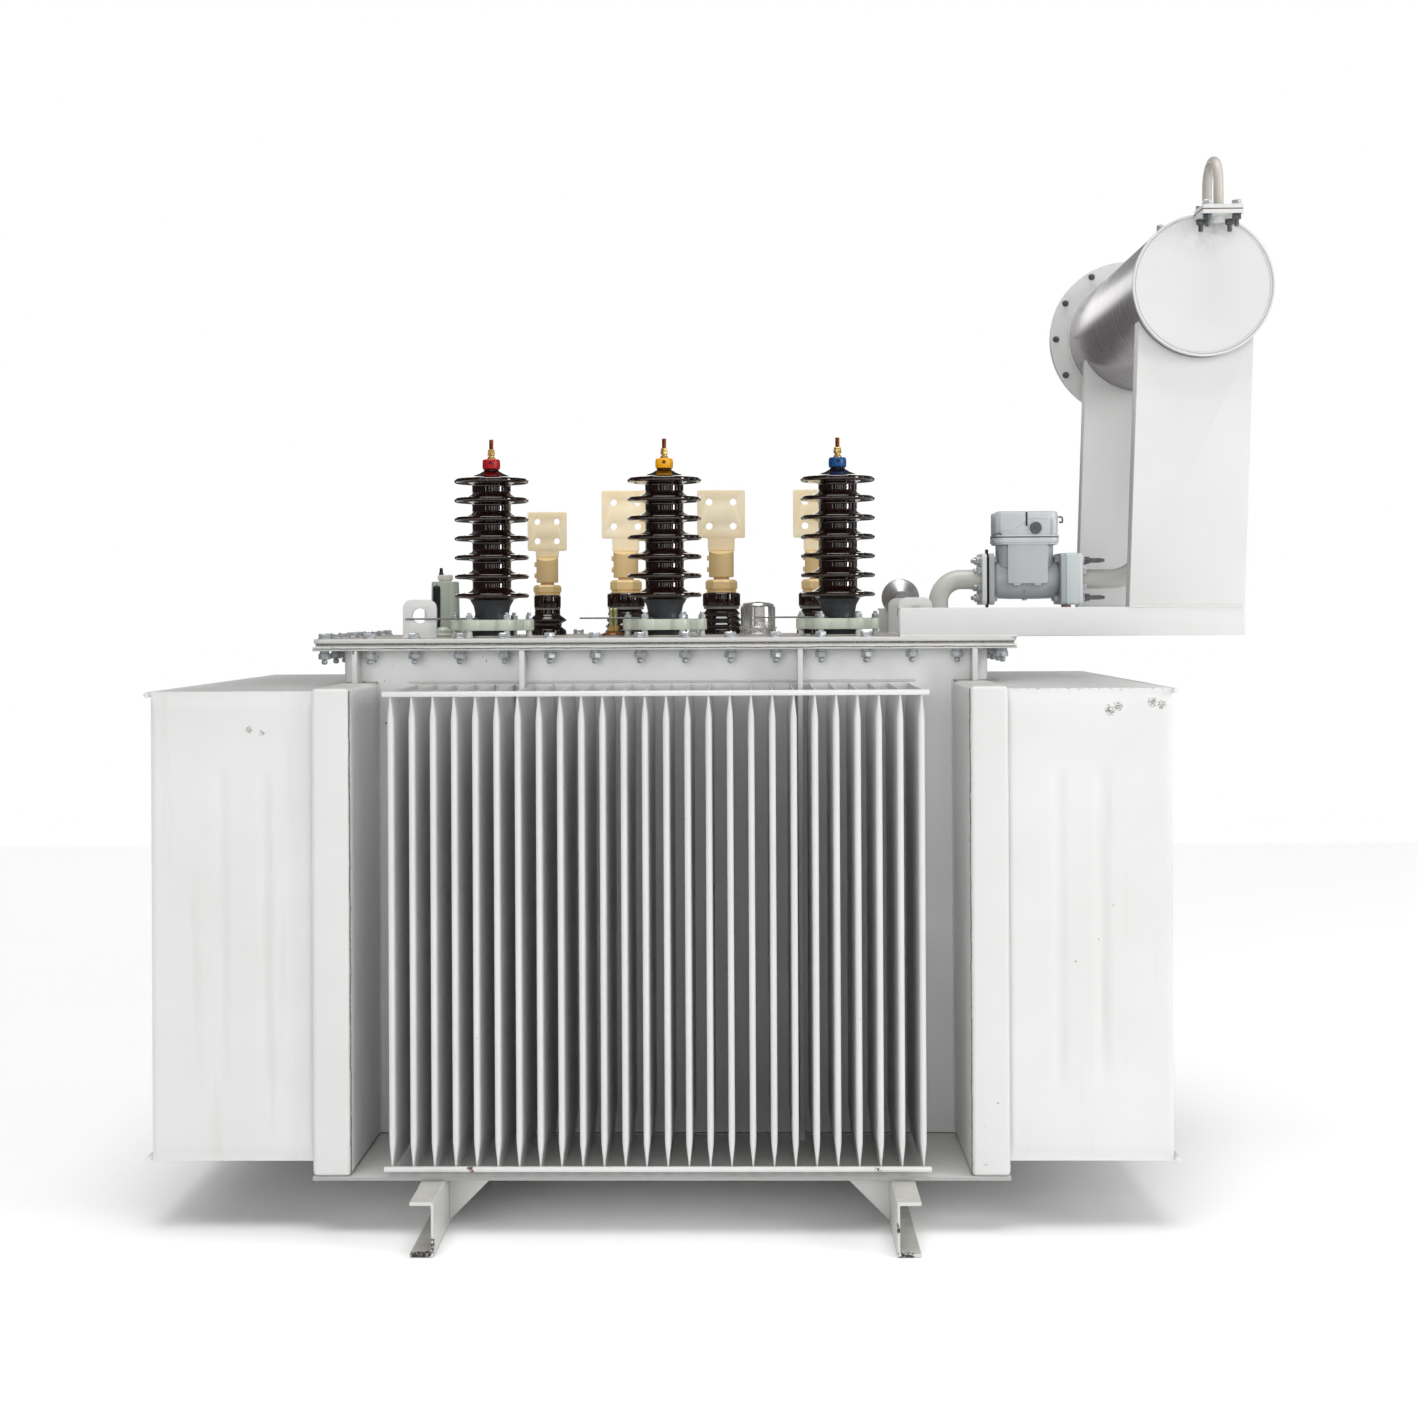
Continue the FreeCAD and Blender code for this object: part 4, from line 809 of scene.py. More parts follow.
def hv_outline():
    """Half outline of the porcelain above its foot, from the cover upwards."""
    line = [(0, 0.0875, 0), (0.0500, 0.0875, 0.001)]
    for number in range(SHED_COUNT):
        rim = FIRST_SHED + number * SHED_PITCH
        inner = 0.0525 if number == 0 else CORE
        line += [(inner, rim - 0.0085, 0.007), (0.066, rim - 0.0045, 0.02), (SHED, rim - 0.0052, 0.0050)]
        if number < SHED_COUNT - 1:
            line += [(SHED, rim + 0.0052, 0.0048), (0.068, rim + 0.0062, 0.03), (CORE, rim + 0.0150, 0.009)]
            line += [(CORE, rim + SHED_PITCH / 2 + 0.006, 0)]
    rim = FIRST_SHED + (SHED_COUNT - 1) * SHED_PITCH
    line += [(SHED, rim + 0.0052, 0.0048), (0.0600, rim + 0.0090, 0.05), (0.0300, rim + 0.0190, 0.03)]
    line += [(0.0185, rim + 0.0245, 0.006), (0.0175, CAP_Z, 0), (0, CAP_Z, 0)]
    return line


hv_places = []
for number in (1, 2, 3):
    low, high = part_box("hv_cap_%d" % number)
    hv_places.append(((low.x + high.x) / 2, (low.y + high.y) / 2))
spots = level(hv_places, cover_z)
porcelain = fasten(turned(hv_outline(), 72, 5), spots, brown_glaze)
settle("hv_porcelains", porcelain, None, "porcelain", "hv_bushings", crease=60)

foot_line = [
    (0, 0, 0), (0.052, 0, 0.001), (0.052, 0.016, 0.001), (0.047, 0.020, 0.001), (0.0465, 0.0425, 0.001),
    (0.0405, 0.0430, 0.001), (0.0400, 0.056, 0.03), (0.0435, 0.074, 0.02), (0.0515, 0.088, 0), (0, 0.088, 0),
]
feet = fasten(turned(foot_line, 56, 4), spots, matt_black)
settle("hv_cast_feet", feet, None, "black_fitting", "hv_bushing_feet")

# ---------------------------------------------------------------- phase caps and studs
# Moulded plastic caps in red, yellow and blue, each with a vent hole in front, under a brass
# collar, two brass nuts and a threaded copper stud.


def bored(mesh, cutter):
    """A mesh with another one cut out of it."""
    holder = stand("holder", mesh)
    tool = stand("tool", cutter)
    cut = holder.modifiers.new("cut", "BOOLEAN")
    cut.operation = "DIFFERENCE"
    cut.solver = "EXACT"
    cut.object = tool
    result = plain(holder)
    bpy.data.objects.remove(tool)
    return result


# Injection-moulded polyamide: even, saturated colour with a soft shine.
HOLE_Z = 0.0145
cap_line = [(0, 0, 0), (0.0205, 0, 0.003), (0.0212, 0.012, 0.02), (0.0205, 0.0238, 0.004), (0, 0.0238, 0)]
screws = []
for number, (shade, colour, second) in enumerate(
    (("red", "#B5121B", "#9C0F17"), ("yellow", "#F2A900", "#E09A00"), ("blue", "#0A4A88", "#083D72")), 1
):
    x, y = hv_places[number - 1]
    hole = put(rod(0.0042, 0.03, 0.0005, 20), (0, -0.0125, HOLE_Z), "-Y")
    cap = put(bored(turned(cap_line, 48, 4), hole), (x, y, cover_z + CAP_Z))
    plastic = glossy("cap_plastic_%d" % number, colour, second, 0.28, bump=0.05)
    settle("phase_cap_%d" % number, cap, plastic, shade + "_cap", "hv_cap_%d" % number)
    screws.append(put(rod(0.0040, 0.004, 0.0008), (x, y - 0.0135, cover_z + CAP_Z + HOLE_Z), "-Y"))
settle("cap_screws", merged(screws), matt_black, "black_fitting")


def thread(radius, low, high, pitch):
    """A threaded length: rings at the thread pitch, ending in a chamfer."""
    line = [(0, low, 0), (radius, low, 0)]
    for number in range(int((high - low) / pitch)):
        base = low + number * pitch
        for out, part in ((1, 0.2), (0.86, 0.5), (1, 0.8)):
            line.append((radius * out, base + part * pitch, 0))
    line += [(radius * 0.8, high, 0), (0, high, 0)]
    return turned(line, 20)


# Brass turned on a lathe, yellow and quick to catch a light; the copper stud has browned in air.
brass = glossy("machined_brass", "#DDBE78", "#CDA95F", 0.24, metallic=0.7, scale=60, bump=0.03)
copper = glossy("copper_stud", "#B0683A", "#8F4F2A", 0.30, metallic=1.0, scale=60, bump=0.05)
collar = [turned([(0, 0, 0), (0.0105, 0, 0.001), (0.0085, 0.006, 0.001), (0, 0.006, 0)], 32, 2)]
collar += [put(hexagon(0.0165, 0.0085), (0, 0, 0.0095)), put(hexagon(0.0150, 0.006), (0, 0, 0.0180))]
collar += [shank(0.0062, 0.005, 0.0105)]
top_spots = level(hv_places, cover_z + CAP_Z + cap_line[-1][1])
settle("hv_stud_nuts", fasten(merged(collar), top_spots, brass, 7), None, "brass", "hv_terminals")
settle("hv_studs", fasten(thread(0.0052, 0.020, 0.0475, 0.0022), top_spots, copper, 8), None, "brass")

# ---------------------------------------------------------------- clamp rings and arcing rods
# Cast rings with six lugs, painted grey-green, pulled down on the porcelain by six studs that
# stand in flared, white-painted sockets; a thin steel rod lies on each ring as an arcing horn.


def welded(mesh):
    """Close a mesh's seams and turn its faces outwards."""
    shape = bmesh.new()
    shape.from_mesh(mesh)
    bmesh.ops.remove_doubles(shape, verts=shape.verts, dist=1e-6)
    bmesh.ops.recalc_face_normals(shape, faces=shape.faces)
    shape.to_mesh(mesh)
    shape.free()
    return mesh


def slab(outline, depth, edge, holes=()):
    """A flat plate with rounded edges, thickness upwards from 0, with holes as closed outlines."""
    curve = bpy.data.curves.new("slab", "CURVE")
    curve.dimensions = "2D"
    curve.fill_mode = "BOTH"
    curve.extrude = depth / 2 - edge
    curve.bevel_depth = edge
    curve.bevel_resolution = 1
    curve.offset = -edge
    for loop in (outline, *holes):
        spline = curve.splines.new("POLY")
        spline.points.add(len(loop) - 1)
        for point, spot in zip(spline.points, loop):
            point.co = (spot[0], spot[1], 0, 1)
        spline.use_cyclic_u = True
    mesh = welded(plain(stand("holder", curve)))
    mesh.transform(Matrix.Translation((0, 0, depth / 2)))
    return mesh


def circle(radius, x=0.0, y=0.0, sides=40):
    """A round outline."""
    turns = [2 * math.pi * i / sides for i in range(sides)]
    return [(x + radius * math.cos(t), y + radius * math.sin(t)) for t in turns]


EARS = [math.radians(60 * i) for i in range(6)]
EAR_CIRCLE, EAR_WIDTH, EAR_REACH, RING = 0.088, math.radians(17), 0.0165, 0.0835
ring_outline = []
for step in range(144):
    turn = math.radians(2.5 * step)
    off = min(abs(turn - ear) for ear in EARS + [2 * math.pi])
    radius = RING + EAR_REACH * max(0.0, 1 - (off / EAR_WIDTH) ** 2) ** 0.6
    ring_outline.append((radius * math.cos(turn), radius * math.sin(turn)))
# Thick brushed-on paint over a sand casting: an even, slightly shiny grey-green.
grey_green = enamel("grey_green_casting_paint", "#BFC7B8", dust=0.4, wear=0.1, roughness=0.3)
ring = put(slab(ring_outline, 0.026, 0.0022, [circle(0.0475)]), (0, 0, 0.016))
settle("clamp_rings", fasten(ring, spots, grey_green, 1, 0), None, "clamp_casting", "hv_clamps")

ear_places = [
    (x + EAR_CIRCLE * math.cos(ear), y + EAR_CIRCLE * math.sin(ear)) for x, y in hv_places for ear in EARS
]
RING_TOP = 0.042
stud = [washer(0.0095, 0.002), hexagon(0.0150, 0.0085, 0.002), shank(0.0048, 0.010, 0.0165)]
stud.append(shank(0.005, -0.045, 0.001))
studs = fasten(merged(stud), level(ear_places, cover_z + RING_TOP), zinc, 11)
settle("clamp_studs", studs, None, "bare_steel")
socket = turned(
    [(0, 0, 0), (0.0115, 0, 0.0008), (0.0075, 0.004, 0.003), (0.0068, 0.0158, 0), (0, 0.0158, 0)], 24, 3
)
settle("stud_sockets", fasten(socket, level(ear_places, cover_z), white_enamel), None, "paint")
base = slab(circle(0.066, sides=64), 0.004, 0.001, [circle(0.0515, sides=48)])
settle("foot_rings", fasten(base, spots, grey_green), None, "clamp_casting")


def tube(corners, radius, sides=6, steps=6):
    """A round bar or pipe along a line with rounded corners, closed at its ends."""
    curve = bpy.data.curves.new("tube", "CURVE")
    curve.dimensions = "3D"
    curve.bevel_depth = radius
    curve.bevel_resolution = sides
    curve.use_fill_caps = True
    points = rounded(corners, steps=steps)
    spline = curve.splines.new("POLY")
    spline.points.add(len(points) - 1)
    for point, spot in zip(spline.points, points):
        point.co = (*spot, 1)
    return welded(plain(stand("holder", curve)))


HORN, HORN_LENGTH = 0.0022, 0.177
horn_low, horn_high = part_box("arcing_rods")
horn_y, horn_z = (horn_low.y + horn_high.y) / 2, (horn_low.z + horn_high.z) / 2
horns = []
for x, y in hv_places:
    start = x - hv_places[0][0] + horn_low.x
    end = start + HORN_LENGTH
    line = [(start, 0, 0), (end - 0.004, 0, 0.004), (end - 0.010, -0.003, 0)]
    horns.append(tube([(out, horn_y, horn_z + drop, bend) for out, drop, bend in line], HORN, 3))
# Drawn steel rod that has lost its shine to weather.
horn_steel = zinc_plate("horn_steel", "#8B8D8C", 0.4, "#6D6B68")
settle("arcing_horns", merged(horns), horn_steel, "bare_steel", "arcing_rods")

# ---------------------------------------------------------------- low-voltage and neutral bushings
# Short brown-glazed porcelains with a grey gasket band, each with a hexagon brass nut, a round
# brass stem with two grip screws at its side, and a flat drilled palm.


def palm_brass(name, colour, second, seat):
    """Blasted cast brass, a pale matt sand on the palm; under its seat, stem and nut are turned to gold."""
    material = glossy(name, colour, second, 0.38, metallic=0.06, scale=14, bump=0.03)
    tree = material.node_tree
    height = add(tree, "ShaderNodeSeparateXYZ", {0: where(material)}).outputs[2]
    machined = add(tree, "ShaderNodeMapRange", {0: height, 1: seat + 0.002, 2: seat - 0.002})
    overlay(material, machined.outputs[0], "#E8CA92")
    return material


def lv_outline(scale, foot, band):
    """Ribbed lower porcelain up to the band."""
    neck = 0.82 * scale
    line = [(0, 0, 0), (foot, 0, 0.002), (foot * 0.97, 0.012, 0.004)]
    for rib in range(3):
        z = 0.012 + rib * (band - 0.02) / 3
        tip = foot * (1.0 - 0.05 * rib)
        for out, rise, edge in ((0.86, 0.004, 0.002), (0.97, 0.008, 0.003), (0.94, 0.013, 0.003)):
            line.append((tip * out, z + rise, edge))
    return line + [(neck, band - 0.004, 0.003), (neck, band, 0), (0, band, 0)]


def upright(plate, depth, place):
    """Stand a flat plate up in X and Z, centred on its thickness."""
    plate.transform(Matrix.Rotation(math.pi / 2, 4, "X"))
    plate.transform(Matrix.Translation(Vector(place) + Vector((0, depth / 2, 0))))
    return plate


def palm(size, neck, neck_height, depth, hole, spacing):
    """The flat drilled palm, standing up in X and Z from the top of its stem."""
    half, narrow, top = size / 2, neck / 2, neck_height + size
    right = [(narrow, 0, 0.001), (narrow, neck_height, 0.005), (half, neck_height, 0.005), (half, top, 0.005)]
    outline = rounded(right + [(-x, y, edge) for x, y, edge in reversed(right)], closed=True)
    middle = neck_height + size / 2
    holes = [circle(hole, i * spacing / 2, middle + j * spacing / 2, 28) for i in (-1, 1) for j in (-1, 1)]
    return upright(slab(outline, depth, 0.0009, holes), depth, (0, 0, 0))


def terminal(nut_radius, nut_height, stem, stem_height, palm_mesh, depth):
    """Nut, throat and stem; the stem's head is cut away to the thickness of the palm."""
    flats, tall = nut_radius * math.sqrt(3), nut_height + stem_height
    start = nut_height * 0.86 + 0.006
    parts = [
        washer(nut_radius * 0.94, nut_height * 0.12), hexagon(flats, nut_height * 0.74, nut_height * 0.12)
    ]
    parts.append(shank(stem * 0.62, nut_height * 0.8, nut_height + 0.002))
    body = turned([(0, start, 0), (stem, start, 0.002), (stem, tall, 0.001), (0, tall, 0)], 40)
    reach = stem * 1.2
    for side in (1, -1):
        near, far = side * depth / 2, side * reach
        profile = [(near, tall + 0.01), (far, tall + 0.01), (far, tall - 0.012), (near, tall - 0.002)]
        points = [(x, y, z) for x in (-reach, reach) for y, z in profile]
        faces = [(0, 1, 2, 3), (7, 6, 5, 4), (0, 4, 5, 1), (1, 5, 6, 2), (2, 6, 7, 3), (3, 7, 4, 0)]
        wedge = bpy.data.meshes.new("wedge")
        wedge.from_pydata(points, [], faces)
        body = bored(body, welded(wedge))
    parts.append(body)
    for part in (0.3, 0.72):
        parts.append(put(hexagon(0.011, 0.007), (-stem + 0.002, 0, nut_height + stem_height * part), "-X"))
    palm_mesh.transform(Matrix.Translation((0, 0, tall)))
    return merged([*parts, palm_mesh])


lv_low, lv_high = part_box("lv_bushings")
n_low, n_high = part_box("neutral_bushing")
lv_y = (lv_low.y + lv_high.y) / 2
mounts = frame["record"]["mounts"]
lv_places = [(mount["pos_m"][0], lv_y) for mount in mounts if "low_voltage" in mount["name"]]
n_places = [((n_low.x + n_high.x) / 2, lv_y)]
lv_spots, n_spots = level(lv_places, cover_z), level(n_places, cover_z)

BAND, COLLAR_GAP = 0.068, 0.0005
lv_top, n_top = lv_high.z - lv_low.z - COLLAR_GAP, n_high.z - n_low.z - COLLAR_GAP
lv_collar = [(0, BAND + 0.003, 0), (0.0480, BAND + 0.003, 0.003), (0.0482, lv_top, 0.004), (0, lv_top, 0)]
lower = fasten(turned(lv_outline(0.048, 0.0545, BAND), 56, 3), lv_spots, brown_glaze)
upper = fasten(turned(lv_collar, 56, 4), lv_spots, brown_glaze)
settle("lv_porcelains", merged([lower, upper]), brown_glaze, "porcelain", "lv_bushings", crease=50)

n_line = [
    (0, 0, 0), (0.0490, 0, 0.002), (0.0470, 0.014, 0.004), (0.0360, 0.022, 0.005), (0.0365, 0.030, 0.004),
    (0.0480, 0.036, 0.003), (0.0485, 0.041, 0.003), (0.0330, 0.052, 0.008), (0.0320, 0.066, 0), (0, 0.066, 0),
]
n_collar = [(0, 0.069, 0), (0.0340, 0.069, 0.003), (0.0345, n_top, 0.004), (0, n_top, 0)]
neutral = [fasten(turned(line, 56, 4), n_spots, brown_glaze) for line in (n_line, n_collar)]
settle("neutral_porcelain", merged(neutral), brown_glaze, "porcelain", "neutral_bushing", crease=50)

# Grey rubber, dull, in the gap between the two porcelains.
dark_gap = glossy("grey_gasket_band", "#8B8A86", "#77756F", 0.5)
bands = [
    fasten(put(rod(radius, thick, 0.001, 48), (0, 0, 0.065)), where_to, dark_gap)
    for radius, thick, where_to in ((0.0455, 0.007, lv_spots), (0.0330, 0.005, n_spots))
]
settle("gasket_bands", merged(bands), dark_gap, "gasket")

# Nut radius and height, stem radius and height, then the palm's size, neck, neck height, depth,
# hole radius and hole spacing; the neutral's set is smaller and its brass a little warmer.
for name, places, low_z, node, stem, flat, brass_look in (
    ("lv_palms", lv_places, lv_high.z, "lv_terminals", (0.041, 0.039, 0.032, 0.070),
     (0.123, 0.069, 0.032, 0.014, 0.009, 0.062), ("pale_cast_brass", "#FFF2D3", "#FBE4B9")),
    ("neutral_palm", n_places, n_high.z, "neutral_terminal", (0.036, 0.030, 0.028, 0.068),
     (0.100, 0.058, 0.016, 0.012, 0.008, 0.050), ("warm_cast_brass", "#FFEFCB", "#F6E0B4")),
):
    whole = terminal(*stem, palm(*flat), flat[3])
    cast_brass = palm_brass(*brass_look, low_z + stem[1] + stem[3])
    settle(name, fasten(whole, level(places, low_z), cast_brass, 1, 0), None, "brass", node)

# ---------------------------------------------------------------- lifting lugs
# Four 12 mm plates with rounded top corners and a burned eye, welded on the cover and painted
# with it.

LUG_THICKNESS, LUG_HALF = 0.012, 0.04


def oblong(half_x, low_y, high_y, lower, upper, steps=4):
    """A rectangle outline about x = 0, with the rounding of its lower and of its upper corners."""
    right = [(half_x, low_y, lower), (half_x, high_y, upper)]
    left = [(-half_x, high_y, upper), (-half_x, low_y, lower)]
    return rounded(left[1:] + right + left[:1], closed=True, steps=steps)


lug_low, lug_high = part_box("lifting_lugs")
lug_xs = (lug_low.x + LUG_HALF, lug_high.x - LUG_HALF)
lug_ys = (lug_low.y + LUG_THICKNESS / 2, lug_high.y - LUG_THICKNESS / 2)
lug_places = [(x, y) for x in lug_xs for y in lug_ys]
lug_outline = oblong(LUG_HALF, 0, 0.09, 0, 0.02)
lugs = []
for x, y in lug_places:
    plate = slab(lug_outline, LUG_THICKNESS, 0.0012, [circle(0.018, 0, 0.052)])
    lugs.append(upright(plate, LUG_THICKNESS, (x, y, lug_low.z)))
settle("lug_plates", merged(lugs), white_enamel, "paint", "lifting_lugs")

# ---------------------------------------------------------------- relief valve
# A pressed and chromed bell over the relief valve's spring, screwed on a turned base ring.

# Thin chrome over pressed steel: a nearly clear mirror, slightly warm.
chrome = glossy("satin_chrome", "#E2E0DE", "#D2D0CE", 0.14, metallic=0.8, scale=9, bump=0.002)
dome_low, dome_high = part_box("relief_dome")
dome_place = ((dome_low.x + dome_high.x) / 2, (dome_low.y + dome_high.y) / 2, cover_z)
bell_line = [
    (0, 0, 0), (0.047, 0, 0.001), (0.047, 0.006, 0.001), (0.0425, 0.008, 0.0008), (0.0425, 0.0165, 0.0008),
    (0.0450, 0.018, 0.0008), (0.0450, 0.021, 0.0008), (0.0412, 0.0225, 0.0008), (0.0412, 0.078, 0.014),
    (0.012, 0.0819, 0.01), (0, 0.0820, 0),
]
bell = put(turned(bell_line, 96, 5), dome_place)
settle("relief_bell", bell, chrome, "chrome", "relief_dome")

# ---------------------------------------------------------------- filler plug
# A copper-coloured domed washer under a knurled brass ring and a two-lobed plug in yellow
# passivated zinc.

fill_low, fill_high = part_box("filler_valve")
fill_spot = level([((fill_low.x + fill_high.x) / 2, (fill_low.y + fill_high.y) / 2)], cover_z)
# Lacquered bronze is a warm brown mirror; yellow chromate gives zinc a pale green-gold film.
bronze = glossy("lacquered_bronze", "#A9794F", "#8A5C3A", 0.22, metallic=0.8, scale=70, bump=0.03)
yellow_zinc = glossy("yellow_passivated_zinc", "#D5CC8C", "#B9C0A0", 0.24, metallic=0.9, scale=90, bump=0.05)
dome_line = [
    (0, 0.003, 0), (0.0292, 0.003, 0.001), (0.0285, 0.0065, 0.003), (0.0160, 0.0120, 0.008), (0, 0.0132, 0)
]
settle("filler_washer", fasten(turned(dome_line, 48, 4), fill_spot, bronze), None, "brass", "filler_valve")
settle("filler_rim", fasten(rod(0.028, 0.0035, 0.001, 48), fill_spot, zinc), None, "bare_steel")
TEETH = 26
teeth = []
for number in range(TEETH):
    turn = 2 * math.pi * number / TEETH
    radius = 0.0142 if number % 2 else 0.0124
    teeth.append((radius * math.cos(turn), radius * math.sin(turn)))
knurl = put(slab(teeth, 0.013, 0.001), (0, 0, 0.0125))
settle("filler_ring", fasten(knurl, fill_spot, brass), None, "brass")
lobes = []
for shift in (-0.0052, 0.0052):
    lobe = merged(
        [hexagon(0.0085, 0.0235, 0.0245), hexagon(0.0095, 0.017, 0.0495), shank(0.0035, 0.044, 0.052)]
    )
    lobes.append(put(lobe, (shift, 0, 0)))
settle("filler_plug", fasten(merged(lobes), fill_spot, yellow_zinc, 1, 0), None, "brass")

# ---------------------------------------------------------------- thermometer pocket head
# A tapered casting in grey-green paint with a paler moulded cap, a black cable gland, a black
# rubber sleeve down its front and a small domed base.

head_low, head_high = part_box("sensor_head")
head_x, head_y = (head_low.x + head_high.x) / 2, (head_low.y + head_high.y) / 2
head_place = (head_x, head_y, cover_z)
# Hammer paint in sage grey on the casting, chalky pale plastic on top, and ribbed black rubber.
sage = enamel("sage_hammer_paint", "#9FA79B", dust=0.3, wear=0.1, roughness=0.4)
pale_cap = glossy("pale_moulded_cap", "#CFCBC0", "#B9B5AA", 0.42, scale=60, bump=0.1)
rubber_black = glossy("black_rubber", "#131313", "#202020", 0.4, scale=120, bump=0.25)
head_line = [(0, 0, 0), (0.0355, 0, 0.002), (0.0355, 0.030, 0.004), (0.0335, 0.136, 0.0035), (0, 0.136, 0)]
settle("pocket_head", put(turned(head_line, 56, 4), head_place), sage, "clamp_casting", "sensor_head")
cap_line = [
    (0, 0.135, 0), (0.0155, 0.135, 0), (0.0150, 0.139, 0.001), (0.0175, 0.1395, 0.001),
    (0.0175, 0.1525, 0.002),
    (0, 0.153, 0),
]
cap_parts = [turned(cap_line, 40, 3)]
for number in range(12):
    turn = math.radians(30 * number)
    rib = put(rod(0.0014, 0.011, 0.0006, 8), (0.0175 * math.cos(turn), 0.0175 * math.sin(turn), 0.1405))
    cap_parts.append(rib)
settle("pocket_cap", put(merged(cap_parts), head_place), pale_cap, "clamp_casting")
gland_line = [
    (0, 0.150, 0), (0.0058, 0.150, 0), (0.0058, 0.157, 0.001), (0.0046, 0.158, 0.0005),
    (0.0040, 0.168, 0.001),
    (0.0030, 0.170, 0.001), (0, 0.170, 0),
]
gland = put(turned(gland_line, 24, 2), (head_x - 0.010, head_y, cover_z))
SLEEVE, SLEEVE_TOP = 0.0098, 0.118
sleeve_x, sleeve_y = head_x - 0.0165, head_y - 0.030
sleeve = tube([(sleeve_x, sleeve_y, cover_z + z, 0) for z in (0.001, SLEEVE_TOP)], SLEEVE, 6)
tip = turned([(0, 0, 0), (SLEEVE, 0, 0), (0.0092, 0.005, 0.004), (0, SLEEVE, 0.006)], 28, 3)
tip = put(tip, (sleeve_x, sleeve_y, cover_z + SLEEVE_TOP))
rings = []
for number in range(9):
    rings.append(put(rod(0.0106, 0.004, 0.001, 24), (sleeve_x, sleeve_y, cover_z + 0.020 + number * 0.0085)))
settle("pocket_sleeve", merged([gland, sleeve, tip, *rings]), rubber_black, "black_fitting")
base_line = [
    (0, 0, 0), (0.023, 0, 0.001), (0.023, 0.005, 0.001), (0.019, 0.008, 0.002), (0.0185, 0.016, 0.005),
    (0.010, 0.0235, 0.006), (0, 0.0245, 0),
]
base = put(turned(base_line, 40, 4), (head_x + 0.001, head_y - 0.048, cover_z))
settle("pocket_base", base, grey_green, "clamp_casting")

# ---------------------------------------------------------------- round vent cover
# A dished disc spun in aluminium on a short stem, with a plain boss at its middle.

# Spun aluminium keeps a soft silver sheen, dulled by oxide.
spun = glossy("spun_aluminium", "#BFC0C2", "#A2A3A6", 0.30, metallic=0.7, scale=30, bump=0.05)
disc_low, disc_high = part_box("disc_valve")
DISC = 0.0485
disc_x, disc_z = (disc_low.x + disc_high.x) / 2, disc_high.z - DISC
dish_line = [
    (0, 0, 0), (DISC, 0, 0.002), (DISC, 0.010, 0.002), (0.045, 0.012, 0.002), (0.020, 0.034, 0.003),
    (0.0178, 0.036, 0.001), (0.0172, 0.0455, 0.002), (0, 0.0458, 0),
]
dish = put(turned(dish_line, 64, 4), (disc_x, disc_high.y, disc_z), "-Y")
settle("vent_disc", dish, spun, "chrome", "disc_valve")
stem = put(rod(0.014, disc_z - cover_z, 0.001, 28), (disc_x, disc_high.y - 0.015, cover_z))
settle("vent_stem", stem, spun, "chrome")

# ---------------------------------------------------------------- conservator
# An oil drum rolled from stainless sheet, left bare and brushed. Its front end is a painted disc
# welded inside the rim; its rear end is a painted flange with a bolted cover.

drum_low, drum_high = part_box("conservator_shell")
end_low, end_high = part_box("conservator_front_end")
drum_x, drum_z = (drum_low.x + drum_high.x) / 2, (drum_low.z + drum_high.z) / 2
DRUM, FLANGE = 0.1575, 0.206
FLANGE_Y, COVER_Y, NUT_CIRCLE = 0.548, 0.560, 0.192

# Bare stainless, brushed round the drum: rings 2 and 18 mm apart along its axis, painted shade
# below and painted light above, with grey overspray feathered 12 mm in from the front rim and at
# the rear flange.
steel, tree, place = blank("brushed_stainless")
roll = add(tree, "ShaderNodeMapping", {0: place, "Scale": (3.0, 420.0, 3.0)})
lines = add(tree, "ShaderNodeTexNoise", {"Vector": roll.outputs[0], "Scale": 1.0, "Detail": 4.0})
broad = add(tree, "ShaderNodeMapping", {0: place, "Scale": (2.0, 55.0, 2.0)})
bands = add(tree, "ShaderNodeTexNoise", {"Vector": broad.outputs[0], "Scale": 1.0, "Detail": 5.0})
along = add(tree, "ShaderNodeSeparateXYZ", {0: place})
part = add(tree, "ShaderNodeMapRange", {0: bands.outputs[0], 1: 0.3, 2: 0.7, 3: 0.40, 4: 0.52})
# Painted shade and highlight: the base colour goes dark below the drum's middle and light above it.
lit = add(
    tree, "ShaderNodeMapRange", {0: along.outputs[2], 1: drum_z - 0.10, 2: drum_z + 0.06, 3: -0.35, 4: 0.5}
)
bands_and_painted_light = add(tree, "ShaderNodeMath", {0: part.outputs[0], 1: lit.outputs[0]}, operation="ADD")
tone = add(
    tree, "ShaderNodeMix", {0: bands_and_painted_light.outputs[0], 6: linear("#7C7578"), 7: linear("#DEDBDB")}, data_type="RGBA"
)
wavy = add(tree, "ShaderNodeTexNoise", {"Vector": place, "Scale": 45.0, "Detail": 2.0})
edge = add(
    tree, "ShaderNodeMath", {0: wavy.outputs[0], 1: 0.005, 2: along.outputs[1]}, operation="MULTIPLY_ADD"
)
front = add(tree, "ShaderNodeMapRange", {0: edge.outputs[0], 1: end_high.y + 0.0125, 2: end_high.y + 0.0115})
rear = add(tree, "ShaderNodeMapRange", {0: edge.outputs[0], 1: 0.5395, 2: 0.5405})
sprayed = add(tree, "ShaderNodeMath", {0: front.outputs[0], 1: rear.outputs[0]}, operation="MAXIMUM")
skin = add(
    tree, "ShaderNodeMix", {0: sprayed.outputs[0], 6: tone.outputs[2], 7: linear("#D9DAD7")}, data_type="RGBA"
)
bare = add(tree, "ShaderNodeMapRange", {0: sprayed.outputs[0], 3: 0.55, 4: 0.0})
rough = add(tree, "ShaderNodeMapRange", {0: lines.outputs[0], 1: 0.3, 2: 0.7, 3: 0.20, 4: 0.30})
brush = add(tree, "ShaderNodeBump", {"Height": lines.outputs[0], "Strength": 0.02, "Distance": 0.0006})
look = {"Base Color": skin.outputs[2], "Roughness": rough.outputs[0], "Normal": brush.outputs[0]}
shader = add(tree, "ShaderNodeBsdfPrincipled", {**look, "Metallic": bare.outputs[0]})
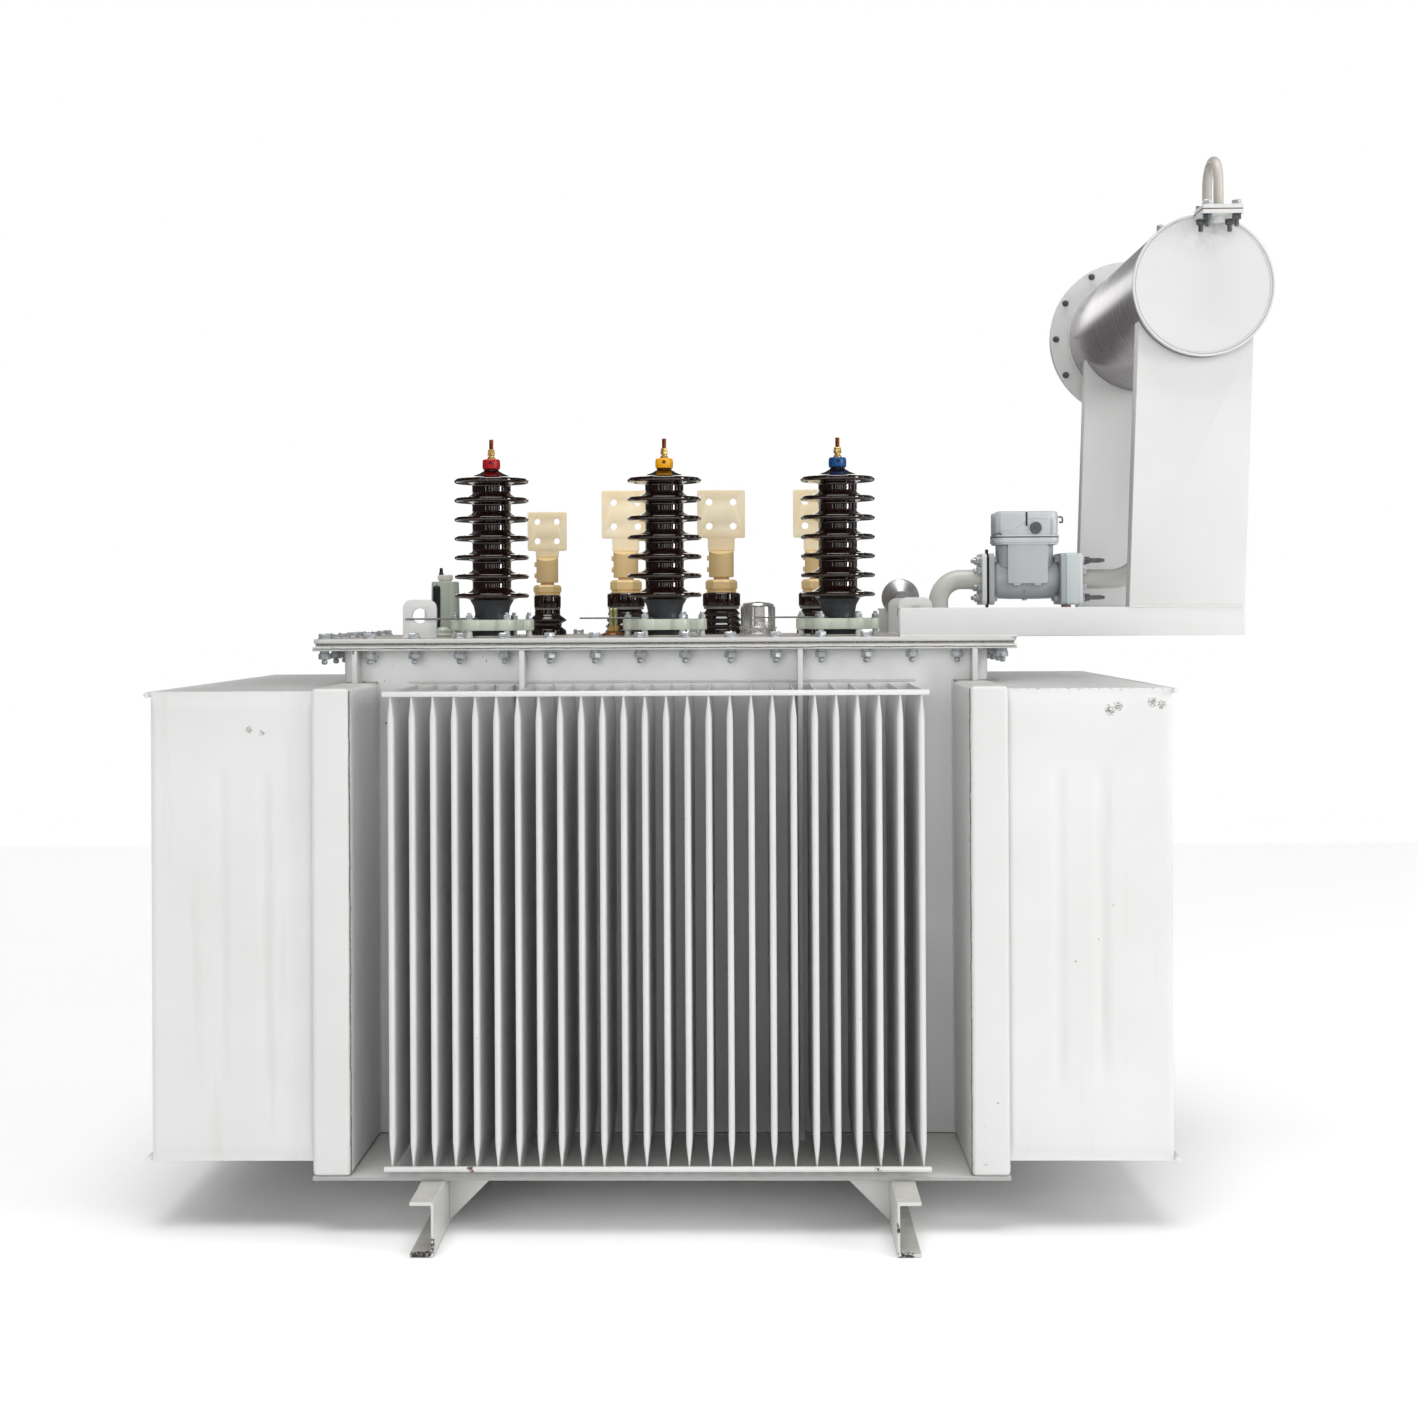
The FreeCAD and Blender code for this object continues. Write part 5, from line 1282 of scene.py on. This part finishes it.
add(tree, "ShaderNodeOutputMaterial", {"Surface": shader.outputs[0]})

LENGTH = drum_high.y - drum_low.y
drum = turned([(0, 0, 0), (DRUM, 0, 0.001), (DRUM, LENGTH, 0), (0, LENGTH, 0)], 128)
settle("drum_shell", put(drum, (drum_x, drum_low.y, drum_z), "Y"), steel, "bare_steel", "conservator_shell")

# The tank's enamel a shade lighter, with three soft grey smudges at the top of the disc.
end_enamel = enamel("drum_end_enamel", "#D3D4D3", dust=0.2, wear=0.0)
mark(
    end_enamel,
    [
        (drum_x + 0.02, end_low.y, drum_z + 0.125, 0.055, 0.55),
        (drum_x - 0.03, end_low.y, drum_z + 0.10, 0.05, 0.22),
        (drum_x + 0.012, end_low.y, drum_z + 0.07, 0.03, 0.12),
    ],
    "#8E8E8C",
)
RIM_DEPTH = end_high.y - end_low.y
end = turned(
    [
        (0, 0, 0), (0.159, 0, 0.0005), (0.159, RIM_DEPTH, 0.0012), (0.1545, RIM_DEPTH, 0.0012),
        (0.1530, 0.0035, 0.001), (0, 0.0035, 0),
    ],
    128,
    3,
)
settle(
    "drum_front_end", put(end, (drum_x, end_high.y, drum_z), "-Y"), end_enamel, "paint",
    "conservator_front_end"
)
for name, thick, y in (("flange", 0.0118, FLANGE_Y), ("rear_cover", 0.012, COVER_Y)):
    disc = put(rod(FLANGE, thick, 0.001, 128), (drum_x, y, drum_z), "Y")
    settle("drum_" + name, disc, white_enamel, "paint", "conservator_" + name)
# Brown cork and rubber sheet, quite matt, seen as a thin dark line between the two discs.
brown_seal = glossy("brown_cork_seal", "#6B4F3C", "#4E3A2C", 0.8, scale=200, bump=0.3)
seal = put(rod(FLANGE - 0.0008, 0.0016, 0, 96), (drum_x, COVER_Y - 0.0008, drum_z), "Y")
settle("drum_seal", seal, brown_seal, "gasket")

nut_part = merged([washer(0.0085, 0.002), hexagon(0.0130, 0.0085, 0.002), shank(0.0040, 0.0095, 0.0145)])
ring_spots = []
for number in range(12):
    turn = math.radians(30 * number)
    ring_spots.append((drum_x + NUT_CIRCLE * math.cos(turn), drum_z + NUT_CIRCLE * math.sin(turn)))
ring_nuts = [fasten(nut_part, [((x, FLANGE_Y, z), (0, -1, 0)) for x, z in ring_spots], dark_zinc, 21)]
ring_heads = merged([washer(0.0105, 0.002), hexagon(0.0160, 0.0085, 0.002)])
ring_nuts.append(fasten(ring_heads, [((x, COVER_Y + 0.012, z), (0, 1, 0)) for x, z in ring_spots], zinc, 22))
settle("drum_flange_bolts", merged(ring_nuts), None, "bare_steel")

plug_low, plug_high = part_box("conservator_plugs")
filling_y, drain_y = plug_low.y + 0.009, plug_high.y - 0.007
neck_line = [
    (0, -0.001, 0), (0.0078, -0.001, 0), (0.0078, 0.046, 0.001), (0.0090, 0.047, 0.0006),
    (0.0090, 0.064, 0.003),
    (0, 0.0678, 0),
]
filling = put(turned(neck_line, 32, 3), (drum_x, filling_y, drum_z + DRUM))
settle("filling_neck", filling, zinc, "bare_steel", "conservator_plugs")
drain = merged([washer(0.0070, 0.002), hexagon(0.0120, 0.0105, 0.002)])
drain = fasten(drain, level([(drum_x, drain_y)], drum_z - DRUM, -1), copper)
settle("drum_drain_plug", drain, None, "brass")

# ---------------------------------------------------------------- breather pipe
# A bent tube in weathered paint over two square plates clamped on a thin brown gasket, with zinc
# bolt heads above and long dark tails below.

# The same paint after rain has run down it: dirtier, streaked, and chipped at the bends.
weathered = enamel("weathered_pipe_enamel", "#C2BDB4", dust=0.7, wear=0.6, run=0.5)
PIPE = 0.011
tube_low, tube_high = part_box("breather_pipe")
mid_x = (tube_low.x + tube_high.x) / 2
front_y, rear_y, top_z = tube_low.y + PIPE, tube_high.y - PIPE, tube_high.z - PIPE
bend = (rear_y - front_y) / 2 * 0.995
corners = ((front_y, tube_low.z, 0), (front_y, top_z, bend), (rear_y, top_z, bend), (rear_y, tube_low.z, 0))
hoop = tube([(mid_x, *corner) for corner in corners], PIPE, 8, 14)
settle("breather_bend", hoop, weathered, "paint", "breather_pipe")


def square(size, corner):
    """A square outline with rounded corners."""
    return oblong(size / 2, -size / 2, size / 2, corner, corner)


plate_low, plate_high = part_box("breather_flange")
plate_mid = ((plate_low.x + plate_high.x) / 2, (plate_low.y + plate_high.y) / 2)
plates = []
PLATE = 0.009
for z in (plate_low.z, plate_high.z - PLATE):
    plates.append(put(slab(square(0.09, 0.003), PLATE, 0.0010), (*plate_mid, z)))
neck = put(rod(0.013, 0.03, 0.001, 28), (*plate_mid, plate_low.z - 0.012))
settle("breather_plates", merged([*plates, neck]), white_enamel, "paint", "breather_flange")
leaf = put(slab(square(0.0885, 0.003), 0.0022, 0.0002), (*plate_mid, plate_low.z + PLATE - 0.0001))
settle("breather_seal", leaf, brown_seal, "gasket")
corners = [(plate_mid[0] + i * 0.032, plate_mid[1] + j * 0.032) for i in (-1, 1) for j in (-1, 1)]
tail = merged([washer(0.0105, 0.0018), hexagon(0.0170, 0.0100, 0.0018), shank(0.0052, 0.0115, 0.0270)])
top_head = merged([washer(0.0112, 0.0018), hexagon(0.0185, 0.0090, 0.0018)])
nuts = fasten(tail, level(corners, plate_low.z, -1), dark_zinc, 31)
settle("breather_nuts", nuts, None, "bare_steel")
heads = fasten(top_head, level(corners, plate_high.z), zinc, 32)
settle("breather_bolts", heads, None, "bare_steel")

# ---------------------------------------------------------------- conservator stand
# Two beams bridge from the cover out past the tank, and a folded channel leg stands on each
# and is scribed to the drum. All are bent from plate, welded, and painted with the tank.

# The tank's enamel with more rubbed corners, where the folded plate was handled.
stand_enamel = enamel("stand_enamel", "#D3D4D3", dust=0.3, wear=0.25)
for name in ("front_beam", "rear_beam", "front_leg", "rear_leg"):
    settle(name + "_channel", edged([name], 0.0022, 3), stand_enamel, "paint", name)

# ---------------------------------------------------------------- oil pipes
# Seamless steel pipe bent in one piece, with square flange plates welded on, in the tank's paint
# with scuffs on the bend, sealed with black rubber.

# The same enamel, dustier and scuffed; the upper pipe's darker grey is painted shade, for the drum's shade it
# lies in.
pipe_enamel = enamel("oil_pipe_enamel", "#C6C6C1", dust=0.5, wear=1.1)
upper_pipe_painted_shade_enamel = enamel("painted_shade_pipe_enamel", "#A6A6A2", dust=0.5, wear=0.6)
OIL_PIPE, FLANGE_PLATE, PIPE_Y, PIPE_Z = 0.024, 0.011, 0.158, 1.392
low_low, low_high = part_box("lower_pipe")
up_low, up_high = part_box("upper_pipe")
low_riser, up_riser = low_low.x + OIL_PIPE, up_high.x - OIL_PIPE
lower_run = [(low_riser, cover_z, 0), (low_riser, PIPE_Z, 0.098), (low_high.x, PIPE_Z, 0)]
upper_run = [(up_low.x, PIPE_Z, 0), (up_riser, PIPE_Z, 0.122), (up_riser, up_high.z - 0.002, 0)]
for name, run, flange_x, paint in (
    ("lower", lower_run, low_high.x - FLANGE_PLATE, pipe_enamel),
    ("upper", upper_run, up_low.x, upper_pipe_painted_shade_enamel)
):
    pipe = tube([(x, PIPE_Y, z, turn) for x, z, turn in run], OIL_PIPE, 14, 14)
    flange = put(slab(square(0.126, 0.010), FLANGE_PLATE, 0.0010), (flange_x, PIPE_Y, PIPE_Z), "X")
    pipe.materials.append(paint)
    flange.materials.append(white_enamel)
    settle(name + "_oil_pipe", merged([pipe, flange]), None, "paint", name + "_pipe")
seal = put(slab(square(0.120, 0.012), 0.0062, 0.0006), (low_high.x - 0.0001, PIPE_Y, PIPE_Z), "X")
tongues = []
for side in (-1, 1):
    tongue = slab(square(0.018, 0.002), 0.006, 0.0008)
    tongues.append(put(tongue, (low_high.x, PIPE_Y - 0.035, PIPE_Z + side * 0.0645), "X"))
settle("pipe_seal", merged([seal, *tongues]), rubber_black, "gasket", "pipe_gasket")

# ---------------------------------------------------------------- gas relay
# An aluminium casting painted slate grey: a barrel between two flanges with a hinged window
# cover in front, under a terminal box with a clipped lid.

# The same slate paint in three tones, slightly shiny: body darkest, cover lighter, block bluer.
relay_paint = enamel("slate_casting_paint", "#A2A7AB", dust=0.35, wear=0.15, roughness=0.34)
relay_light = enamel("relay_lid_paint", "#B5B9BC", dust=0.3, wear=0.12, roughness=0.32)
valve_paint = enamel("valve_block_paint", "#C2CBCD", dust=0.3, wear=0.15, roughness=0.36)
body_low, body_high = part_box("relay_body")
SPAN = body_high.x - body_low.x
CAST_FLANGE = 0.013
barrel_line = [
    (0, 0, 0), (0.036, 0, 0), (0.038, 0.012, 0.006), (0.0475, 0.022, 0.016), (0.0490, 0.058, 0.04),
    (0.0490, SPAN - 0.058, 0.04), (0.0475, SPAN - 0.022, 0.016), (0.038, SPAN - 0.012, 0.006),
    (0.036, SPAN, 0),
    (0, SPAN, 0),
]
barrel = put(turned(barrel_line, 72, 4), (body_low.x, PIPE_Y, PIPE_Z), "X")
mid = (body_low.x + body_high.x) / 2
neck = slab(oblong(0.0690, -0.046, 0.046, 0.026, 0.026), 0.062, 0.003)
neck = put(neck, (mid, PIPE_Y, body_high.z - 0.060))
cast_flange = slab(square(0.126, 0.010), CAST_FLANGE, 0.0014)
ends = [put(cast_flange.copy(), (x, PIPE_Y, PIPE_Z), "X") for x in (body_low.x, body_high.x - CAST_FLANGE)]
drop = turned([(0, 0, 0), (0.007, 0, 0.001), (0.006, 0.007, 0.003), (0, 0.008, 0)], 24, 3)
drop = put(drop, (mid, PIPE_Y, PIPE_Z - 0.0525))
arrow = rounded([(-0.0065, 0.008, 0.001), (0.0065, 0.008, 0.001), (0, -0.009, 0.001)], closed=True)
triangle = slab(arrow, 0.003, 0.0006, [[(-0.0032, 0.0052), (0.0032, 0.0052), (0, -0.0035)]])
triangle = upright(triangle, 0.003, (mid - 0.002, PIPE_Y - 0.0408, PIPE_Z - 0.0285))
settle(
    "relay_casting", merged([barrel, neck, *ends, drop, triangle]), relay_paint, "relay_paint", "relay_body"
)

WINDOW = 0.098
window = slab(oblong(WINDOW / 2, 0, WINDOW, 0.003, 0.001), 0.005, 0.0009)
window_parts = [upright(window, 0.005, (mid + 0.001, PIPE_Y - 0.0560, PIPE_Z - 0.011))]
for shift in (-0.026, 0.024):
    hinge = put(rod(0.0035, 0.017, 0.0008, 16), (mid + shift - 0.008, PIPE_Y - 0.0555, PIPE_Z - 0.0135), "X")
    window_parts.append(hinge)
lip_y, lip_z = PIPE_Y - 0.0588, PIPE_Z + 0.0845
lip = [(-0.008, 0, 0), (-0.006, 0.0017, 0.002), (0.010, 0.0017, 0.002), (0.012, 0, 0)]
window_parts.append(tube([(mid + x, lip_y, lip_z + z, turn) for x, z, turn in lip], 0.0006, 2))
settle("relay_window_cover", merged(window_parts), relay_light, "relay_paint")

box_low, box_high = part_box("relay_head")
head_mid = ((box_low.x + box_high.x) / 2, (box_low.y + box_high.y) / 2)
half_x, half_y = (box_high.x - box_low.x) / 2, (box_high.y - box_low.y) / 2


def head_layer(shrink, low, high, edge, corner=0.022):
    """One level of the terminal box, with rounded upright corners."""
    x, y = half_x - shrink, half_y - shrink
    return put(slab(oblong(x, -y, y, corner, corner, 6), high - low, edge), (*head_mid, low))


lid_seam = box_low.z + 0.0150
layers = [
    head_layer(0.006, box_low.z - 0.003, box_low.z + 0.006, 0.001),
    head_layer(0.0032, box_low.z + 0.001, lid_seam - 0.0008, 0.0015),
    head_layer(0.0045, lid_seam - 0.003, lid_seam + 0.003, 0.0005),
    head_layer(0.0030, lid_seam + 0.0008, lid_seam + 0.0065, 0.0016),
    head_layer(0.0050, lid_seam + 0.005, box_high.z - 0.0012, 0.0060),
]
face = box_low.y + 0.0050
panel = rounded(
    [
        (-0.067, 0, 0.001), (-0.034, 0, 0.004), (0.002, 0.028, 0.004), (0.048, 0.028, 0.001),
        (0.048, 0.044, 0.003),
        (-0.067, 0.044, 0.003),
    ],
    closed=True,
)
layers.append(upright(slab(panel, 0.004, 0.0012), 0.004, (head_mid[0], face - 0.0004, lid_seam + 0.0165)))
column = put(rod(0.0085, 0.040, 0.002, 28), (box_high.x - 0.0190, box_low.y + 0.010, lid_seam + 0.006))
layers.append(column)
layers.append(
    put(slab(square(0.014, 0.002), 0.0024, 0.0008), (head_mid[0] - 0.018, head_mid[1], box_high.z - 0.0020))
)
lid_paint = enamel("lid_casting_paint", "#C4C8CB", dust=0.3, wear=0.12, roughness=0.32)
settle("relay_lid", merged(layers), lid_paint, "relay_paint", "relay_head")

seam = head_layer(0.0030, lid_seam - 0.0012, lid_seam + 0.0012, 0.0003)
gap = slab(oblong(0.002, 0, 0.034, 0.001, 0.001), 0.002, 0.0003)
gap = upright(gap, 0.002, (head_mid[0] - 0.0025, face - 0.0026, box_high.z - 0.0375))
settle("relay_dark_gaps", merged([seam, gap]), rubber_black, "black_fitting")

knob_line = [
    (0, 0, 0), (0.0148, 0, 0.001), (0.0148, 0.006, 0.0015), (0.0120, 0.0072, 0.001), (0.0112, 0.0062, 0.001),
    (0, 0.0062, 0),
]
cross = [slab(oblong(0.0085, -0.0016, 0.0016, 0.001, 0.001), 0.0024, 0.0006)]
cross.append(cross[0].copy())
cross[1].transform(Matrix.Rotation(math.pi / 2, 4, "Z"))
cross = merged(cross)
cross.transform(Matrix.Rotation(math.radians(40), 4, "Z"))
cross.transform(Matrix.Translation((0, 0, 0.0055)))
knob_place = (head_mid[0] + 0.020, face - 0.0005, lid_seam + 0.0225)
knob = put(merged([turned(knob_line, 48, 3), cross]), knob_place, "-Y")
hook_x, hook_y, hook_z = box_high.x - 0.002, box_low.y + 0.012, lid_seam + 0.042
hook = [(-0.004, 0.007, 0), (0.006, 0.007, 0.004), (0.006, -0.008, 0.004), (-0.002, -0.005, 0)]
clasp = [(-0.001, 0.006, 0.005, 0), (0.012, 0.004, 0.010, 0.003), (0.018, 0.004, 0.006, 0)]
hooks = [
    tube([(hook_x + x, hook_y, hook_z + z, turn) for x, z, turn in hook], 0.0022, 4),
    put(rod(0.0048, 0.012, 0.0012, 20), (box_low.x - 0.002, box_low.y + 0.008, lid_seam + 0.004), "-Y"),
    tube([(box_low.x + x, box_low.y + y, lid_seam + z, turn) for x, y, z, turn in clasp], 0.0020, 4),
]
# Grey plating, darker and duller than the zinc of the bolts.
clasp_plate = zinc_plate("grey_plated_clasps", "#74787B", 0.34, "#5E6265")
settle("relay_knob_and_clasps", merged([knob, *hooks]), clasp_plate, "bare_steel")

block_low, block_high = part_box("relay_valve")
block = put(
    slab(square(0.128, 0.008), block_high.x - block_low.x, 0.0016), (block_low.x, PIPE_Y, PIPE_Z), "X"
)
settle("valve_block", block, valve_paint, "relay_paint", "relay_valve")
# Paint almost gone from the plug: rough rust brown with dark patches.
rust = enamel("rusty_plug", "#8B5E45", dust=0.4, wear=0.8, roughness=0.7, chip="#4A2E20")
plug = put(rod(0.012, 0.010, 0.0015, 24), (block_low.x + 0.004, PIPE_Y - 0.03, block_low.z - 0.0095))
settle("valve_plug", plug, rust, "bare_steel")

BOLT_CIRCLE = 0.0498
circle_spots = []
for number in range(8):
    turn = math.radians(22.5 + 45 * number)
    circle_spots.append((PIPE_Y + BOLT_CIRCLE * math.cos(turn), PIPE_Z + BOLT_CIRCLE * math.sin(turn)))
clear_spots = [(y, z) for y, z in circle_spots if abs(z - PIPE_Z) > 0.03]
small = merged([washer(0.0105, 0.0020), hexagon(0.0175, 0.0090, 0.0020)])
tipped = merged([small.copy(), shank(0.0055, 0.0105, 0.0190)])
left_face, inner_left = low_high.x - FLANGE_PLATE, body_low.x + CAST_FLANGE
inner_right, right_face = body_high.x - CAST_FLANGE, up_low.x + FLANGE_PLATE
sets = [
    fasten(part, [((x, y, z), (way, 0, 0)) for y, z in where_to], zinc, seed)
    for part, x, way, where_to, seed in (
        (tipped, left_face, -1, circle_spots, 41), (small, inner_left, 1, clear_spots, 42),
        (small, inner_right, -1, clear_spots, 43), (small, right_face, 1, circle_spots, 44),
    )
]
settle("relay_flange_bolts", merged(sets), None, "bare_steel")
long_stud = merged(
    [hexagon(0.0170, 0.0125, 0.0115), shank(0.0055, 0.0, 0.0540, 0.001), shank(0.0042, 0.054, 0.0610, 0.001)]
)
studs = [((right_face, y, z), (1, 0, 0)) for y, z in clear_spots]
settle("relay_long_studs", fasten(long_stud, studs, dark_zinc, 45), None, "bare_steel")

# ---------------------------------------------------------------- weld beads
# Hand-laid fillet welds, painted over: uneven ropes about 5 mm wide with a slow wander and small
# ripples along their run.

bead_tree, bead_in = tree_with(
    "weld_bead", [("Radius", "Float"), ("Wander", "Float"), ("Ripple", "Float"), ("Finish", "Material")]
)
bead_curve = add(bead_tree, "GeometryNodeMeshToCurve", {"Mesh": bead_in["Geometry"]})
bead_fine = add(
    bead_tree, "GeometryNodeResampleCurve", {"Curve": bead_curve.outputs[0], "Length": 0.006}, mode="LENGTH"
)
slow = add(bead_tree, "ShaderNodeTexNoise", {"Scale": 22.0, "Detail": 2.0})
middle = add(
    bead_tree, "ShaderNodeVectorMath", {0: slow.outputs[1], 1: (0.5, 0.5, 0.5)}, operation="SUBTRACT"
)
drift = add(
    bead_tree, "ShaderNodeVectorMath", {0: middle.outputs[0], "Scale": bead_in["Wander"]}, operation="SCALE"
)
moved = add(
    bead_tree, "GeometryNodeSetPosition", {"Geometry": bead_fine.outputs[0], "Offset": drift.outputs[0]}
)
quick = add(bead_tree, "ShaderNodeTexNoise", {"Scale": 150.0, "Detail": 1.0})
swing = add(
    bead_tree, "ShaderNodeMath", {0: quick.outputs[0], 1: bead_in["Ripple"], 2: 0.6},
    operation="MULTIPLY_ADD"
)
sized = add(bead_tree, "GeometryNodeSetCurveRadius", {"Curve": moved.outputs[0], "Radius": swing.outputs[0]})
ring = add(bead_tree, "GeometryNodeCurvePrimitiveCircle", {"Resolution": 7, "Radius": bead_in["Radius"]})
rope = add(
    bead_tree,
    "GeometryNodeCurveToMesh",
    {"Curve": sized.outputs[0], "Profile Curve": ring.outputs[0], "Fill Caps": True},
)
if "Scale" in rope.inputs:
    bead_tree.links.new(swing.outputs[0], rope.inputs["Scale"])
close_tree(bead_tree, rope.outputs[0], bead_in["Finish"])


def bead(lines, radius, wander=0.003, ripple=0.9, material=None):
    """Weld beads along open lines of points, as one mesh."""
    points, edges = [], []
    for line in lines:
        start = len(points)
        points += line
        edges += [(start + i, start + i + 1) for i in range(len(line) - 1)]
    mesh = bpy.data.meshes.new("runs")
    mesh.from_pydata(points, edges, [])
    sizes = {"Radius": radius, "Wander": wander, "Ripple": ripple, "Finish": material or white_enamel}
    return grow(bead_tree, sizes, mesh)


wall_low, wall_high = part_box("tank_body")
fins_low, fins_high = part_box("front_fins")
left_low, left_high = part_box("left_header")
right_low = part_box("right_header")[0]
lines = []
for y in (wall_low.y, wall_high.y):
    lines.append([(fins_low.x - 0.01, y, fins_high.z + 0.006), (fins_high.x + 0.01, y, fins_high.z + 0.006)])
    for x in (left_high.x, right_low.x):
        lines.append([(x, y, left_low.z), (x, y, left_high.z)])
    lines.append([(left_high.x, y, left_low.z + 0.001), (right_low.x, y, left_low.z + 0.001)])
settle("wall_welds", bead(lines, 0.0032), None, "paint")

# Dirt caught along the foot of a weld: matt grey-brown, in patches a few millimetres long.
grime = glossy("weld_grime", "#5B564F", "#7C766D", 0.8, scale=140, bump=0.2)
lines = []
for y, step in ((left_low.y, 1), (left_high.y, -1)):
    for x in (left_high.x, right_low.x):
        lines.append([(x, y + step * 0.004, left_low.z + 0.004), (x, y + step * 0.004, left_high.z - 0.006)])
for y in (wall_low.y - 0.0034, wall_high.y + 0.0034):
    lines.append([(left_high.x, y, left_low.z + 0.0035), (right_low.x, y, left_low.z + 0.0035)])
rim_z = (flange_low.z + flange_high.z) / 2
rim_ends = (flange_low.x + 0.004, flange_high.x - 0.004)
lines.append([(x, flange_low.y - 0.0001, rim_z) for x in rim_ends])
settle("weld_grime_lines", bead(lines, 0.0009, 0.0035, 1.4, grime), None, "paint")

lines = []
for x, y in lug_places:
    for side in (-1, 1):
        lines.append([(x + end * LUG_HALF, y + side * 0.0065, cover_z + 0.001) for end in (-1, 1)])
for name in ("front_beam", "rear_beam"):
    low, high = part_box(name)
    for y in (low.y, high.y):
        lines.append([(low.x, y, low.z + 0.001), (cover_high.x, y, low.z + 0.001)])
for name in ("front_leg", "rear_leg"):
    low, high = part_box(name)
    for y in (low.y, high.y):
        lines.append([(low.x, y, low.z + 0.0005), (low.x + 0.255, y, low.z + 0.0005)])
settle("fixture_welds", bead(lines, 0.0026), None, "paint")


def hoop_line(radius, y, steps=72):
    """A closed ring of points round the drum's axis."""
    turns = [2 * math.pi * i / steps for i in range(steps + 1)]
    return [(drum_x + radius * math.cos(t), y, drum_z + radius * math.sin(t)) for t in turns]


drum_beads = bead([hoop_line(0.1508, end_high.y - 0.0040)], 0.0019, 0.0025, 0.7, end_enamel)
flange_beads = bead([hoop_line(DRUM + 0.002, 0.5465)], 0.0042, 0.003, 0.8, white_enamel)
settle("drum_end_weld", drum_beads, None, "paint")
settle("drum_flange_weld", flange_beads, None, "paint")
